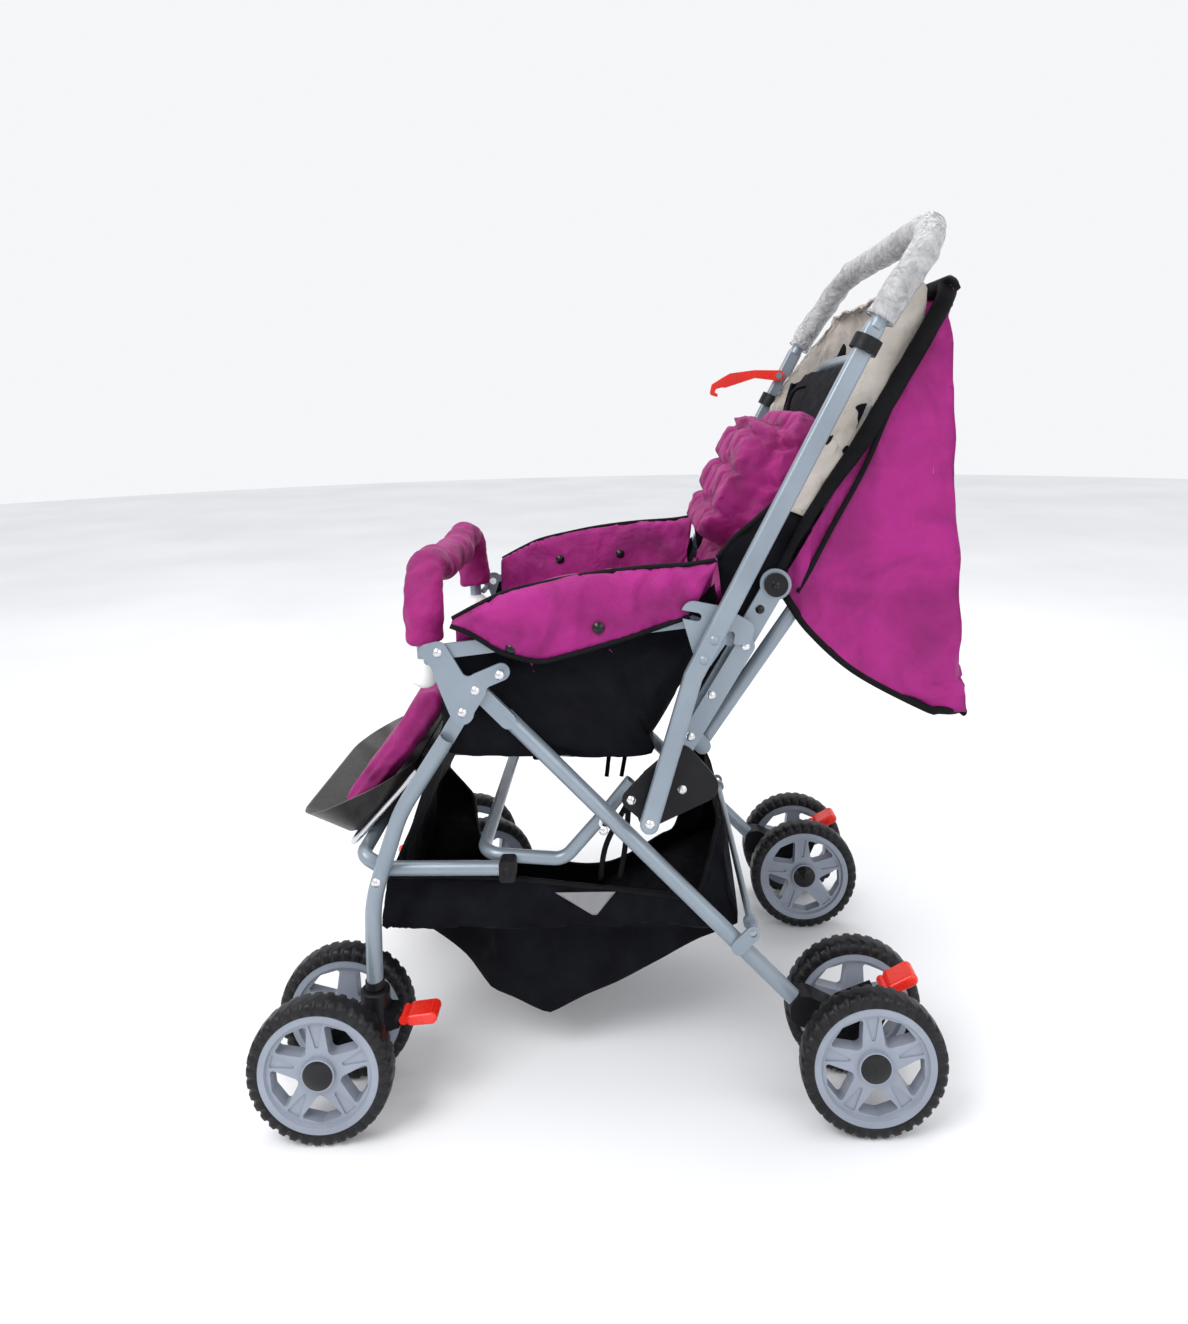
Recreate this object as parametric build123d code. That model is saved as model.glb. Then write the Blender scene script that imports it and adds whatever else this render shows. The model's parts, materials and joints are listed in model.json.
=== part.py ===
from build123d import *
from math import atan2, cos, degrees, radians, sin, tan
import os

# Folding four-wheel stroller with a reversible push handle. Millimetres, +Z up.
# X runs across the stroller (+X is its left side), -Y is its front, +Y its rear.
# Side-view points are (y, z), with y measured from the middle of the wheelbase.

# --- wheels and casters -------------------------------------------------------
WHEEL_R = 77.5
TYRE_WIDTH = 26.5
RIM_R = 64.0
AXLE_Y = 291.8
PAIR_X = 193.0
WHEEL_SPACING = 93.5
AXLE_R = 4.0
SPOKE_FACE = 8.0
HUB_R = 17.5
HUB_FACE = 12.0
HUB_CAP_R = 16.0
CASTER_TRAIL = 46.0
RIGHT_CASTER_YAW = 202.9
STEM_R = 5.0
FRONT_STEM = (-246.0, 134.0)
REAR_PEDAL_PIVOT = (316.0, 128.0)
RUNNING_GAP = 0.05

# --- layers across the width, near side ---------------------------------------
LEG_X = 193.0
LEG_R = 9.0
FRONT_LINK_X = 175.5
FRONT_LINK_R = 8.0
REAR_LINK_X = 159.0
REAR_LINK_R = 7.5
BACK_TUBE_X = 176.5
BACK_TUBE_R = 8.0
CANOPY_X = 187.0
CANOPY_SKIN = 3.5
HOOP_R = 2.5
BACK_BAR_X = 193.0
BAR_THICKNESS = 4.0
RAIL_X = 199.0
PLATE_X = 203.5
PLATE_THICKNESS = 3.0
BRACKET_X = 206.0
BRACKET_THICKNESS = 6.0
LATCH_X = 213.5
HANDLE_X = 226.0
HANDLE_HALF_THICK = 7.0
HANDLE_HALF_WIDE = 10.0
TUBE_WALL = 1.3
RIVET_R = 3.0
RIVET_HEAD_R = 5.0

# --- pivots in the side view --------------------------------------------------
RAIL_PIVOT = (-164.5, 510.4)
REAR_LEG_PIVOT = (-124.6, 468.3)
FRONT_LEG_RIVET = (-139.2, 444.5)
LOBE_PIN = (-96.0, 488.5)
FRONT_LINK_PIVOT = (-239.4, 256.1)
LINK_JOINT = (-98.0, 257.0)
REAR_LINK_PIVOT = (11.2, 310.7)
BRACKET_LINK_PIVOT = (42.0, 348.0)
UPRIGHT_PIVOT = (167.3, 513.2)
RECLINE_PIVOT = (106.7, 416.0)
BRACKET_BOLT = (97.0, 359.0)
HANDLE_PIVOT = (61.4, 331.0)
CANOPY_HUB = (202.5, 576.5)
UPRIGHT_RIVET = (130.0, 460.5)
BAR_STUD = (185.0, 549.7)

# --- legs and links -----------------------------------------------------------
FRONT_LEG_LINE = [(-158.9, 412.6), (-213.0, 330.0), (-246.0, 232.0), (-246.0, 143.0)]
REAR_LEG_END = (222.0, 111.5)
CROSS_ROD = (172.1, 195.0)
CROSS_ROD_R = 4.0
FRONT_LINK_NOSE = (-261.8, 274.6)
FRONT_LINK_KNEE = (-236.0, 259.0)
FRONT_LINK_TAIL = (-106.0, 257.6)
REAR_LINK_KNEE = (-36.0, 258.5)
REAR_LINK_CORNER = (-129.5, 266.0)
LINK_BEND_R = 24.0

# --- handle -------------------------------------------------------------------
HANDLE_KNEE = (109.5, 486.0)
HANDLE_SHOULDER = (303.0, 848.0)
HANDLE_TOP = (380.0, 962.0)
HANDLE_CORNER_R = 78.0
GRIP_R = 13.0
LATCH_RIVETS = ((132.0, 526.0), (121.0, 505.0))
LEVER_PIVOT = (277.0, 815.0)

# --- seat, back and canopy ----------------------------------------------------
SEAT_HALF_WIDTH = 182.0
BACK_HALF_WIDTH = 164.0
BACK_FOOT = (112.0, 412.0)
BACK_RISE = 63.2
BACK_LENGTH = 443.0

# --- bumper, tray, basket -----------------------------------------------------
BUMPER_X = 170.0
BUMPER_FOOT = (-186.0, 484.0)
BUMPER_KNEE = (-190.0, 590.0)
BUMPER_TAB = (-176.0, 500.0)
BUMPER_CORNER_R = 62.0
TRAY_HALF_WIDTH = 150.0
BASKET_HALF_WIDTH = 163.0
BASKET_LOW_HALF_WIDTH = 123.0
CASTER_SWING_R = 139.0
CASTER_SWING_Z = 157.0

# --- middle of the stroller's box, in this frame ------------------------------
CENTRE_X = -19.7
CENTRE_Y = 22.5

os.makedirs("parts", exist_ok=True)


# --- helpers ------------------------------------------------------------------
def save(name, *solids):
    """Write one sub-part, shifted so that the stroller's box is centred on the Z axis."""
    moved = [Pos(-CENTRE_X, -CENTRE_Y, 0) * solid for solid in solids]
    export_step(Compound(children=moved) if len(moved) > 1 else moved[0], f"parts/{name}.step")


def both(solid):
    """A piece and its mirror image on the other side of the stroller."""
    return [solid, mirror(solid, about=Plane.YZ)]


def direction(start, end):
    """Unit vector and length from one side-view point to another."""
    span = (Vector(*end) - Vector(*start))
    return span.normalized(), span.length


def side_plate(face, x, thickness):
    """A flat piece: a side-view outline with its inner face at x."""
    return extrude(Plane.YZ.offset(x) * face, amount=thickness)


def disc(point, r, x, thickness):
    return side_plate(Pos(*point) * Circle(r), x, thickness)


def bar_face(start, end, half_width):
    """A round-ended bar outline between two side-view points."""
    along, length = direction(start, end)
    middle = (Vector(*start) + Vector(*end)) / 2
    angle = degrees(atan2(along.Y, along.X))
    return Pos(middle.X, middle.Y) * Rot(0, 0, angle) * SlotCenterToCenter(length, 2 * half_width)


def hull_face(*circles):
    """The outline stretched round circles given as (y, z, radius)."""
    edges = []
    for y, z, r in circles:
        edges += (Pos(y, z) * Circle(r)).edges()
    return make_hull(edges)


def bent_path(points, bend):
    """A wire through the points, with each corner rounded to the bend radius."""
    corners = [Vector(*p) for p in points]
    edges = []
    start = corners[0]
    for before, corner, after in zip(corners, corners[1:], corners[2:]):
        back = (before - corner).normalized()
        ahead = (after - corner).normalized()
        half_turn = radians(180 - back.get_angle(ahead)) / 2
        cut = bend * tan(half_turn)
        arc_start = corner + back * cut
        arc_end = corner + ahead * cut
        depth = bend / cos(half_turn) - bend
        arc_middle = corner + (back + ahead).normalized() * depth
        edges.append(Edge.make_line(start, arc_start))
        edges.append(Edge.make_three_point_arc(arc_start, arc_middle, arc_end))
        start = arc_end
    edges.append(Edge.make_line(start, corners[-1]))
    return Wire(edges)


def tube(path, r, wall=TUBE_WALL):
    """A round tube along a wire, open at both ends."""
    section = Circle(r)
    if wall:
        section = section - Circle(r - wall)
    return sweep(Plane(origin=path @ 0, z_dir=path % 0) * section, path=path)


def at_x(x, points):
    return [(x, y, z) for y, z in points]


def rivet(point, x_in, x_out, collar=None):
    """A domed rivet through x_in to x_out, with an optional (x0, x1, r) spacer on it."""
    shank = disc(point, RIVET_R, x_in - 1.5, x_out - x_in + 1.5)
    tail = disc(point, RIVET_HEAD_R, x_in - 1.5, 1.5)
    pin = shank + tail + dome_at(point, x_out)
    if collar:
        pin += disc(point, collar[2], collar[0], collar[1] - collar[0])
    return pin


def dome(r, height):
    """A low dome standing on the XY plane: a slice off a sphere."""
    sphere_r = (r * r + height * height) / (2 * height)
    blank = Cylinder(r, height, align=(Align.CENTER, Align.CENTER, Align.MIN))
    return blank & Pos(0, 0, height - sphere_r) * Sphere(sphere_r)


def dome_at(point, x, r=RIVET_HEAD_R, height=2.4):
    """A dome on a side-view point, its flat back at x, pointing to +X."""
    return Pos(x, *point) * Rot(0, 90, 0) * dome(r, height)


# --- wheels -------------------------------------------------------------------
def tyre():
    """Tyre about the X axis, with a rounded tread and a seat for the rim."""
    half = TYRE_WIDTH / 2
    shoulder = 7.0
    band = Rectangle(2 * half, WHEEL_R - RIM_R)
    band = fillet(band.vertices().group_by(Axis.Y)[-1], shoulder)
    ring = Plane.XY * Pos(0, (WHEEL_R + RIM_R) / 2) * band
    return revolve(ring, axis=Axis.X)


def rim():
    """Five-spoke rim: flared, dished spokes between a deep rim ring and a hub."""
    half = TYRE_WIDTH / 2
    ring_depth = half - 1.6
    ring_inner = 55.5
    web = [(-7, 0), (-7, ring_inner), (-ring_depth, ring_inner + 1.5), (-ring_depth, RIM_R)]
    web += [(ring_depth, RIM_R), (ring_depth, ring_inner + 1.5), (SPOKE_FACE, ring_inner)]
    web += [(SPOKE_FACE, HUB_R), (HUB_FACE, HUB_R), (HUB_FACE, 0)]
    body = revolve(make_face(Polyline(*web, close=True)), axis=Axis.X)
    for k in range(5):
        turn = Rot(72 * k + 39, 0, 0)
        body -= turn * wheel_window(ring_inner - 1.5)
        body -= Rot(72 * k + 3, 0, 0) * spoke_groove()
    bore = AXLE_R + RUNNING_GAP
    return body - Pos(-20, 0, 0) * Rot(0, 90, 0) * Cylinder(bore, 80, align=(Align.CENTER,) * 3)


def wheel_window(outer):
    """The U-shaped opening between two spokes, narrow at the hub."""
    inner = 24.0
    opening = hull_face((0, inner + 5.5, 5.5), (-17.5, outer - 8.5, 3.0), (17.5, outer - 8.5, 3.0))
    opening += hull_face((-17.5, outer - 8.5, 3.0), (0, outer - 4.0, 3.6), (17.5, outer - 8.5, 3.0))
    return side_plate(opening, -20, 40)


def spoke_groove():
    """The shallow hollow pressed into the face of each spoke."""
    hollow = hull_face((0, 29.0, 2.2), (-5.5, 51.0, 1.6), (5.5, 51.0, 1.6))
    return side_plate(hollow, SPOKE_FACE - 1.6, 10)


def axle_pair():
    """One axle with a domed cap outside each of its two wheels, centred on its fork."""
    reach = WHEEL_SPACING / 2 + HUB_FACE + 0.1
    washer = WHEEL_SPACING / 2 - 7.6
    rod = Rot(0, 90, 0) * Cylinder(AXLE_R, 2 * reach)
    for side in (-1, 1):
        rod += Pos(side * washer, 0, 0) * Rot(0, 90, 0) * Cylinder(7.0, 0.8)
    cap = dome_at((0, 0), reach, HUB_CAP_R, 3.0)
    return rod + cap + mirror(cap, about=Plane.YZ)


def place_pair(solid, stem, yaw, trail):
    """Move a piece of a caster from the stem's frame to its place on the stroller."""
    x, y = stem
    return Pos(x, y, 0) * Rot(0, 0, yaw) * Pos(0, -trail, WHEEL_R) * solid


def front_fork():
    """Caster fork in the stem's frame: a housing round the stem and an arm to the axle."""
    arm = hull_face((0, FRONT_STEM[1] - 27 - 4, 18.0), (-CASTER_TRAIL, WHEEL_R, 13.0))
    arm += hull_face((0, 100, 14.0), (27, 103, 8.0))
    body = side_plate(arm, -11, 22)
    housing = Pos(0, 0, FRONT_STEM[1] - 17.6) * Cylinder(16.0, 34)
    body += fillet(housing.edges().group_by(Axis.Z)[-1], 3)
    body -= Pos(0, 0, FRONT_STEM[1] - 16) * Cylinder(STEM_R + RUNNING_GAP, 40)
    body -= Pos(0, -CASTER_TRAIL, WHEEL_R) * Rot(0, 90, 0) * Cylinder(AXLE_R + RUNNING_GAP, 60)
    return body - Pos(0, 33, 103) * Rot(0, 90, 0) * Cylinder(9.2, 60)


def pedal():
    """Brake pedal about its hinge at the origin, its ribbed pad pointing to +Y."""
    pad = hull_face((9, 1, 6.0), (31, 3, 6.5))
    solid = extrude(Plane.YZ * pad, amount=14, both=True)
    solid = fillet(solid.edges().group_by(Axis.X)[-1], 3)
    solid = fillet(solid.edges().group_by(Axis.X)[0], 3)
    for k in range(5):
        solid -= Pos(0, 14 + 4.5 * k, 11.2) * Box(20, 1.6, 5.0)
    knuckle = Rot(0, 90, 0) * Cylinder(5.0, 22)
    return solid + knuckle


def build_wheels():
    tyre_solid = tyre()
    rim_solid = rim()
    axle_solid = axle_pair()
    corners = {
        "front_left": ((PAIR_X, FRONT_STEM[0]), 0.0, CASTER_TRAIL),
        "front_right": ((-PAIR_X, FRONT_STEM[0]), RIGHT_CASTER_YAW, CASTER_TRAIL),
        "rear_left": ((PAIR_X, AXLE_Y), 0.0, 0.0),
        "rear_right": ((-PAIR_X, AXLE_Y), 0.0, 0.0),
    }
    for corner, (stem, yaw, trail) in corners.items():
        for number, side in ((1, 1), (2, -1)):
            def put(solid):
                outward = solid if side > 0 else Rot(0, 0, 180) * solid
                return place_pair(Pos(side * WHEEL_SPACING / 2, 0, 0) * outward, stem, yaw, trail)
            save(f"tyre_{corner}_{number}", put(tyre_solid))
            save(f"rim_{corner}_{number}", put(rim_solid))
    for corner in ("front_left", "front_right"):
        stem, yaw, trail = corners[corner]
        turned = Pos(stem[0], stem[1], 0) * Rot(0, 0, yaw)
        save(f"fork_{corner}", turned * front_fork())
        save(f"axle_{corner}", place_pair(axle_solid, stem, yaw, trail))
        save(f"pedal_{corner}", turned * Pos(0, 33, 103) * pedal())
    rear = [place_pair(axle_solid, corners[c][0], 0.0, 0.0) for c in ("rear_left", "rear_right")]
    save("rear_axles", *rear)
    for corner, side in (("rear_left", 1), ("rear_right", -1)):
        y, z = REAR_PEDAL_PIVOT
        save(f"pedal_{corner}", Pos(side * PAIR_X, y, z) * Rot(20, 0, 0) * pedal())



# --- legs and links -----------------------------------------------------------
def front_leg():
    top_along, _ = direction(FRONT_LEG_LINE[0], FRONT_LEG_RIVET)
    points = at_x(LEG_X, FRONT_LEG_LINE)
    bends = bent_path(points, 150.0)
    leg = tube(bends, LEG_R)
    foot = (FRONT_LEG_LINE[0][0] - 3.6 * top_along.X, FRONT_LEG_LINE[0][1] - 3.6 * top_along.Y)
    leg += side_plate(bar_face(foot, FRONT_LEG_RIVET, LEG_R), LEG_X - LEG_R + 0.5, 6)
    leg -= disc(FRONT_LEG_RIVET, RIVET_R, LEG_X - 20, 40)
    return leg - disc(FRONT_LINK_PIVOT, RIVET_R, LEG_X - 20, 40)


def rear_leg():
    along, length = direction(REAR_LEG_PIVOT, REAR_LEG_END)
    start = (REAR_LEG_PIVOT[0] + along.X * 44, REAR_LEG_PIVOT[1] + along.Y * 44)
    overlap = (start[0] + along.X * 5, start[1] + along.Y * 5)
    leg = tube(bent_path(at_x(LEG_X, [start, REAR_LEG_END]), 1.0), LEG_R)
    leg += side_plate(bar_face(REAR_LEG_PIVOT, overlap, LEG_R), LEG_X + 2.5, 6)
    leg -= disc(REAR_LEG_PIVOT, RIVET_R + RUNNING_GAP, LEG_X - 20, 40)
    return leg - disc(REAR_LINK_PIVOT, RIVET_R, LEG_X - 20, 40)


def build_legs():
    save("front_legs", *both(front_leg()))
    rod = Pos(0, *CROSS_ROD) * Rot(0, 90, 0) * Cylinder(CROSS_ROD_R, 2 * LEG_X)
    rod_ends = both(disc(CROSS_ROD, 8.0, LEG_X - LEG_R - 6, 5.9))
    left = rear_leg() + side_plate(bar_face(CROSS_ROD, rear_leg_point(CROSS_ROD), 8.0), LEG_X + 8.5, 3)
    left -= disc(CROSS_ROD, CROSS_ROD_R + 0.02, LEG_X - 30, 50)
    save("rear_legs", *both(left), rod + rod_ends[0] + rod_ends[1])
    save("rear_brackets", *both(rear_bracket()))
    stem = Pos(LEG_X, FRONT_STEM[0], 0) * leg_stem()
    save("leg_stems", *both(stem))


def rear_leg_point(near):
    """The point of the rear leg's centre line closest to a side-view point."""
    along, _ = direction(REAR_LEG_PIVOT, REAR_LEG_END)
    reach = (Vector(*near) - Vector(*REAR_LEG_PIVOT)).dot(along)
    return (REAR_LEG_PIVOT[0] + along.X * reach, REAR_LEG_PIVOT[1] + along.Y * reach)


def leg_stem():
    """Plug in the front leg's foot, with the pin that the caster turns on."""
    foot_z = FRONT_LEG_LINE[-1][1]
    plug = Pos(0, 0, foot_z + 6) * Cylinder(LEG_R - TUBE_WALL - 0.3, 12)
    collar = Pos(0, 0, foot_z - 4) * Cylinder(LEG_R + 1.5, 7.9)
    pin = Pos(0, 0, foot_z - 24) * Cylinder(STEM_R, 36)
    return plug + collar + pin


def rear_bracket():
    """Moulded housing that joins the rear leg to the axle and carries the brake pedal."""
    y, z = REAR_PEDAL_PIVOT
    shape = hull_face((REAR_LEG_END[0] + 6, REAR_LEG_END[1] - 4, 17.0), (AXLE_Y, WHEEL_R, 14.0))
    shape += hull_face((AXLE_Y, WHEEL_R, 12.0), (y, z - 6, 9.0), (AXLE_Y - 22, WHEEL_R + 26, 10.0))
    block = side_plate(shape, PAIR_X - 12, 24)
    path = bent_path(at_x(LEG_X, [rear_leg_point((100, 200)), REAR_LEG_END]), 1.0)
    socket = tube(path, LEG_R + 0.03, wall=0)
    block -= socket
    block -= Pos(PAIR_X, AXLE_Y, WHEEL_R) * Rot(0, 90, 0) * Cylinder(AXLE_R + 0.02, 60)
    return block - Pos(PAIR_X, y, z) * Rot(0, 90, 0) * Cylinder(12.0, 60)


def front_link():
    """U-shaped lower front link: two side arms joined by a nose in front of the legs."""
    arm = at_x(FRONT_LINK_X, [FRONT_LINK_TAIL, FRONT_LINK_KNEE, FRONT_LINK_NOSE])
    other = [(-x, y, z) for x, y, z in reversed(arm)]
    link = tube(bent_path(arm + other, LINK_BEND_R / 2), FRONT_LINK_R)
    for side in both(disc(FRONT_LINK_PIVOT, RIVET_R + RUNNING_GAP, FRONT_LINK_X - 20, 40)):
        link -= side
    return link


def link_clamp():
    """Moulded end clamp of the front link, with the bolt head of the link joint."""
    y, z = LINK_JOINT
    block = Pos(FRONT_LINK_X, y, z) * Box(2 * FRONT_LINK_R + 2, 18, 24)
    block = fillet(block.edges().filter_by(Axis.X), 4)
    end = at_x(FRONT_LINK_X, [FRONT_LINK_TAIL, FRONT_LINK_KNEE])
    socket = tube(bent_path(end, 1), FRONT_LINK_R, wall=0)
    return block - socket + dome_at(LINK_JOINT, FRONT_LINK_X + FRONT_LINK_R + 1)


def rear_link():
    """U-shaped lower rear link, bent up behind the leg to the bracket's pivot."""
    arm = at_x(REAR_LINK_X, [BRACKET_LINK_PIVOT, REAR_LINK_PIVOT, REAR_LINK_KNEE, REAR_LINK_CORNER])
    other = [(-x, y, z) for x, y, z in reversed(arm)]
    link = tube(bent_path(arm + other, LINK_BEND_R), REAR_LINK_R)
    for side in both(disc(REAR_LINK_PIVOT, RIVET_R + RUNNING_GAP, REAR_LINK_X - 20, 40)):
        link -= side
    return link


def build_links():
    save("front_link", front_link())
    save("link_clamps", *both(link_clamp()))
    save("rear_link", rear_link())


# --- front plates, seat frame, brackets ---------------------------------------
def front_plate():
    """Three-lobed pressed plate that carries the legs, the rail and the bumper."""
    body = hull_face((*RAIL_PIVOT, 12), (-146, 470, 16), (*FRONT_LEG_RIVET, 13))
    body += hull_face((*REAR_LEG_PIVOT, 12), (-146, 472, 16), (*FRONT_LEG_RIVET, 11))
    body += bar_face((-122, 478), LOBE_PIN, 9.5)
    body += hull_face((*RAIL_PIVOT, 12), (-176, 512, 8), (-160, 500, 12))
    body = body.face()
    body = offset(offset(body, amount=7), amount=-7)
    plate = side_plate(body, PLATE_X, PLATE_THICKNESS)
    for point in (RAIL_PIVOT, REAR_LEG_PIVOT, FRONT_LEG_RIVET, LOBE_PIN):
        plate -= disc(point, RIVET_R, PLATE_X - 10, 20)
    return plate


def build_front():
    save("front_plates", *both(front_plate()))
    outer = PLATE_X + PLATE_THICKNESS
    pins = [
        rivet(RAIL_PIVOT, RAIL_X, outer),
        rivet(REAR_LEG_PIVOT, LEG_X + 2.5, outer),
        rivet(FRONT_LEG_RIVET, LEG_X - LEG_R + 0.5, outer, (LEG_X - 2.4, PLATE_X, 5.0)),
        lobe_pin(),
        link_pin(FRONT_LINK_PIVOT),
    ]
    save("frame_rivets", *[side for pin in pins for side in both(pin)])


def lobe_pin():
    """Headed pin on the plate's rear lobe, which the latch plate hooks over."""
    pin = disc(LOBE_PIN, RIVET_R, PLATE_X, PLATE_THICKNESS)
    pin += disc(LOBE_PIN, 3.5, PLATE_X + PLATE_THICKNESS, LATCH_X + 5.0 - PLATE_X - PLATE_THICKNESS)
    return pin + dome_at(LOBE_PIN, LATCH_X + 5.0)


def link_pin(point):
    """Pivot pin of the front link, through the link and the front leg."""
    shank = disc(point, RIVET_R, FRONT_LINK_X - FRONT_LINK_R - 3, 40)
    shank = shank & disc(point, 20, 0, LEG_X + LEG_R)
    tail = disc(point, RIVET_HEAD_R, FRONT_LINK_X - FRONT_LINK_R - 3, 2.5)
    return shank + tail + dome_at(point, LEG_X + LEG_R)


def build_rear_pins():
    """Pivot pin of the rear link, with a spacer that holds it off the rear leg."""
    point = REAR_LINK_PIVOT
    shank = disc(point, RIVET_R, REAR_LINK_X - REAR_LINK_R - 2.5, 53)
    tail = disc(point, RIVET_HEAD_R, REAR_LINK_X - REAR_LINK_R - 2.5, 2)
    outer_face = REAR_LINK_X + REAR_LINK_R
    spacer = disc(point, 6.0, outer_face + 0.5, LEG_X - LEG_R - outer_face - 0.6)
    save("rear_leg_rivets", *both(shank + tail + spacer + dome_at(point, LEG_X + LEG_R)))


def side_rail():
    """Flat seat rail from the front plate to the upright bar."""
    rail = side_plate(bar_face(RAIL_PIVOT, (105, 540), 8.0) + bar_face((105, 540), UPRIGHT_PIVOT, 8.0),
                      RAIL_X, BAR_THICKNESS)
    rail -= disc(RAIL_PIVOT, RIVET_R + RUNNING_GAP, RAIL_X - 10, 20)
    return rail - disc(UPRIGHT_PIVOT, RIVET_R, RAIL_X - 10, 20)


def build_seat_frame():
    """Two flat rails that carry the seat's fabric."""
    save("seat_frame", *both(side_rail()))


def upright_bar():
    """Flat bar that joins the rail's rear end to the rear bracket."""
    foot = (99.0, 403.0)
    bar = side_plate(bar_face(foot, UPRIGHT_PIVOT, 10.0), BRACKET_X, BAR_THICKNESS)
    for point in (UPRIGHT_PIVOT, RECLINE_PIVOT, UPRIGHT_RIVET):
        bar -= disc(point, RIVET_R + RUNNING_GAP, BRACKET_X - 10, 20)
    return bar


def main_bracket():
    """Moulded rear bracket that carries the handle pivot and the rear link."""
    shape = hull_face((*HANDLE_PIVOT, 13), (119, 362, 17), (97, 393, 14), (62, 372, 8))
    shape += hull_face((*HANDLE_PIVOT, 10), (*BRACKET_LINK_PIVOT, 10), (60, 368, 9))
    body = side_plate(shape, BRACKET_X, BRACKET_THICKNESS)
    body = fillet(body.edges().group_by(Axis.X)[-1], 1.2)
    body -= side_plate(bar_face((99.0, 403.0), UPRIGHT_PIVOT, 10.05), BRACKET_X - 1, BAR_THICKNESS + 1.05)
    for point in (HANDLE_PIVOT, BRACKET_BOLT):
        body -= disc(point, RIVET_R, BRACKET_X - 10, 30)
    return body - disc(BRACKET_LINK_PIVOT, RIVET_R, BRACKET_X - 10, 30)


def build_rear_unit():
    save("upright_bars", *both(upright_bar()))
    save("main_brackets", *both(main_bracket()))
    outer = BRACKET_X + BAR_THICKNESS
    handle_inner = HANDLE_X - HANDLE_HALF_THICK
    rail_outer = RAIL_X + BAR_THICKNESS
    pins = [
        rivet(UPRIGHT_PIVOT, RAIL_X - 0.1, outer + 0.1, (rail_outer + 0.1, BRACKET_X - 0.1, 6.0)),
        rivet(RECLINE_PIVOT, BACK_BAR_X - 0.1, outer + 0.1, (BACK_BAR_X + 4.1, BRACKET_X - 0.1, 5.0)),
        rivet(UPRIGHT_RIVET, BRACKET_X, outer),
        rivet(BRACKET_BOLT, BRACKET_X, BRACKET_X + BRACKET_THICKNESS),
        rivet(BRACKET_LINK_PIVOT, BRACKET_X, BRACKET_X + BRACKET_THICKNESS),
        rivet(HANDLE_PIVOT, BRACKET_X, HANDLE_X + HANDLE_HALF_THICK + 0.1,
              (BRACKET_X + BRACKET_THICKNESS, handle_inner - 0.3, 7.0)),
    ]
    save("bracket_bolts", *[side for pin in pins for side in both(pin)])


# --- bumper, seat, tray -------------------------------------------------------
def u_path(x, points, corner):
    """A wire through the side-view points at x, across, and back down at -x."""
    side = at_x(x, points)
    return bent_path(side + [(-x, y, z) for x, y, z in reversed(side)], corner)


def bumper_path(start):
    """Centre line of the bumper from a distance up its arm, across and down again."""
    along, _ = direction(BUMPER_FOOT, BUMPER_KNEE)
    foot = (BUMPER_FOOT[0] + along.X * start, BUMPER_FOOT[1] + along.Y * start)
    return u_path(BUMPER_X, [foot, BUMPER_KNEE], BUMPER_CORNER_R)


def build_bumper():
    """Padded bumper bar across the seat, its fabric cover and its two end knobs."""
    bar = tube(bumper_path(0), 8.0)
    stubs = both(Pos(PLATE_X / 2 + BUMPER_X / 2 + 2, *BUMPER_TAB) * Rot(0, 90, 0)
                 * Cylinder(4.0, PLATE_X - BUMPER_X - 8))
    bar += stubs[0] + stubs[1]
    cover_path = bumper_path(26.0)
    section = Circle(22.0) - Circle(8.3)
    cover = sweep(Plane(origin=cover_path @ 0, z_dir=cover_path % 0) * section, path=cover_path)
    knob = Pos(BUMPER_X, BUMPER_FOOT[0], BUMPER_FOOT[1] - 4) * Sphere(18.0) - bar
    save("bumper_bar", bar)
    save("bumper_cover", cover)
    save("bumper_knobs", *both(knob))


def seat_outline():
    """Side view of the fabric seat: floor, front lip and the sides' top edge."""
    points = [(-150, 540), (-150, 500), (-166, 470), (-156, 388), (46, 384), (70, 432)]
    points += [(134, 522), (141, 598), (109, 592), (0, 584), (-90, 566)]
    return make_face(Polyline(*points, close=True))


def build_seat():
    """Fabric seat, cushion, and the folded-down side flaps with the rail under them."""
    outer = side_plate(seat_outline(), -SEAT_HALF_WIDTH, 2 * SEAT_HALF_WIDTH)
    inner_half = SEAT_HALF_WIDTH - 5
    space = [(-145, 700), (-145, 502), (-161, 470), (-151, 394), (300, 394), (300, 700)]
    inner = side_plate(make_face(Polyline(*space, close=True)), -inner_half, 2 * inner_half)
    cushion = side_plate(hull_face((-140, 404, 8), (38, 404, 8)), -165, 330)
    save("seat_cushion", fillet(cushion.edges().filter_by(GeomType.LINE).group_by(Axis.X)[-1], 5))
    flap = [(-150, 545), (-90, 570), (0, 588), (109, 596), (109, 547), (11, 513), (-54, 497)]
    flap += [(-74, 503), (-118, 526), (-150, 541)]
    face = make_face(Polyline(*flap, close=True))
    skin = side_plate(face, RAIL_X + BAR_THICKNESS + 1.5, 3.0)
    top = [(-150, 545), (-90, 570), (0, 588), (109, 596), (109, 599), (0, 591), (-90, 573), (-150, 548)]
    ridge = side_plate(make_face(Polyline(*top, close=True)), SEAT_HALF_WIDTH - 5, 30.5)
    front_mouth = [(-200, 415), (-140, 415), (-140, 700), (-200, 700)]
    leg_gap = side_plate(make_face(Polyline(*front_mouth, close=True)), -160, 320)
    shell = outer - inner - leg_gap
    for side in both(skin + ridge):
        shell += side
    save("seat_shell", shell)


def tray_section(width, length, corner):
    return fillet(Rectangle(width, length).vertices(), corner)


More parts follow.
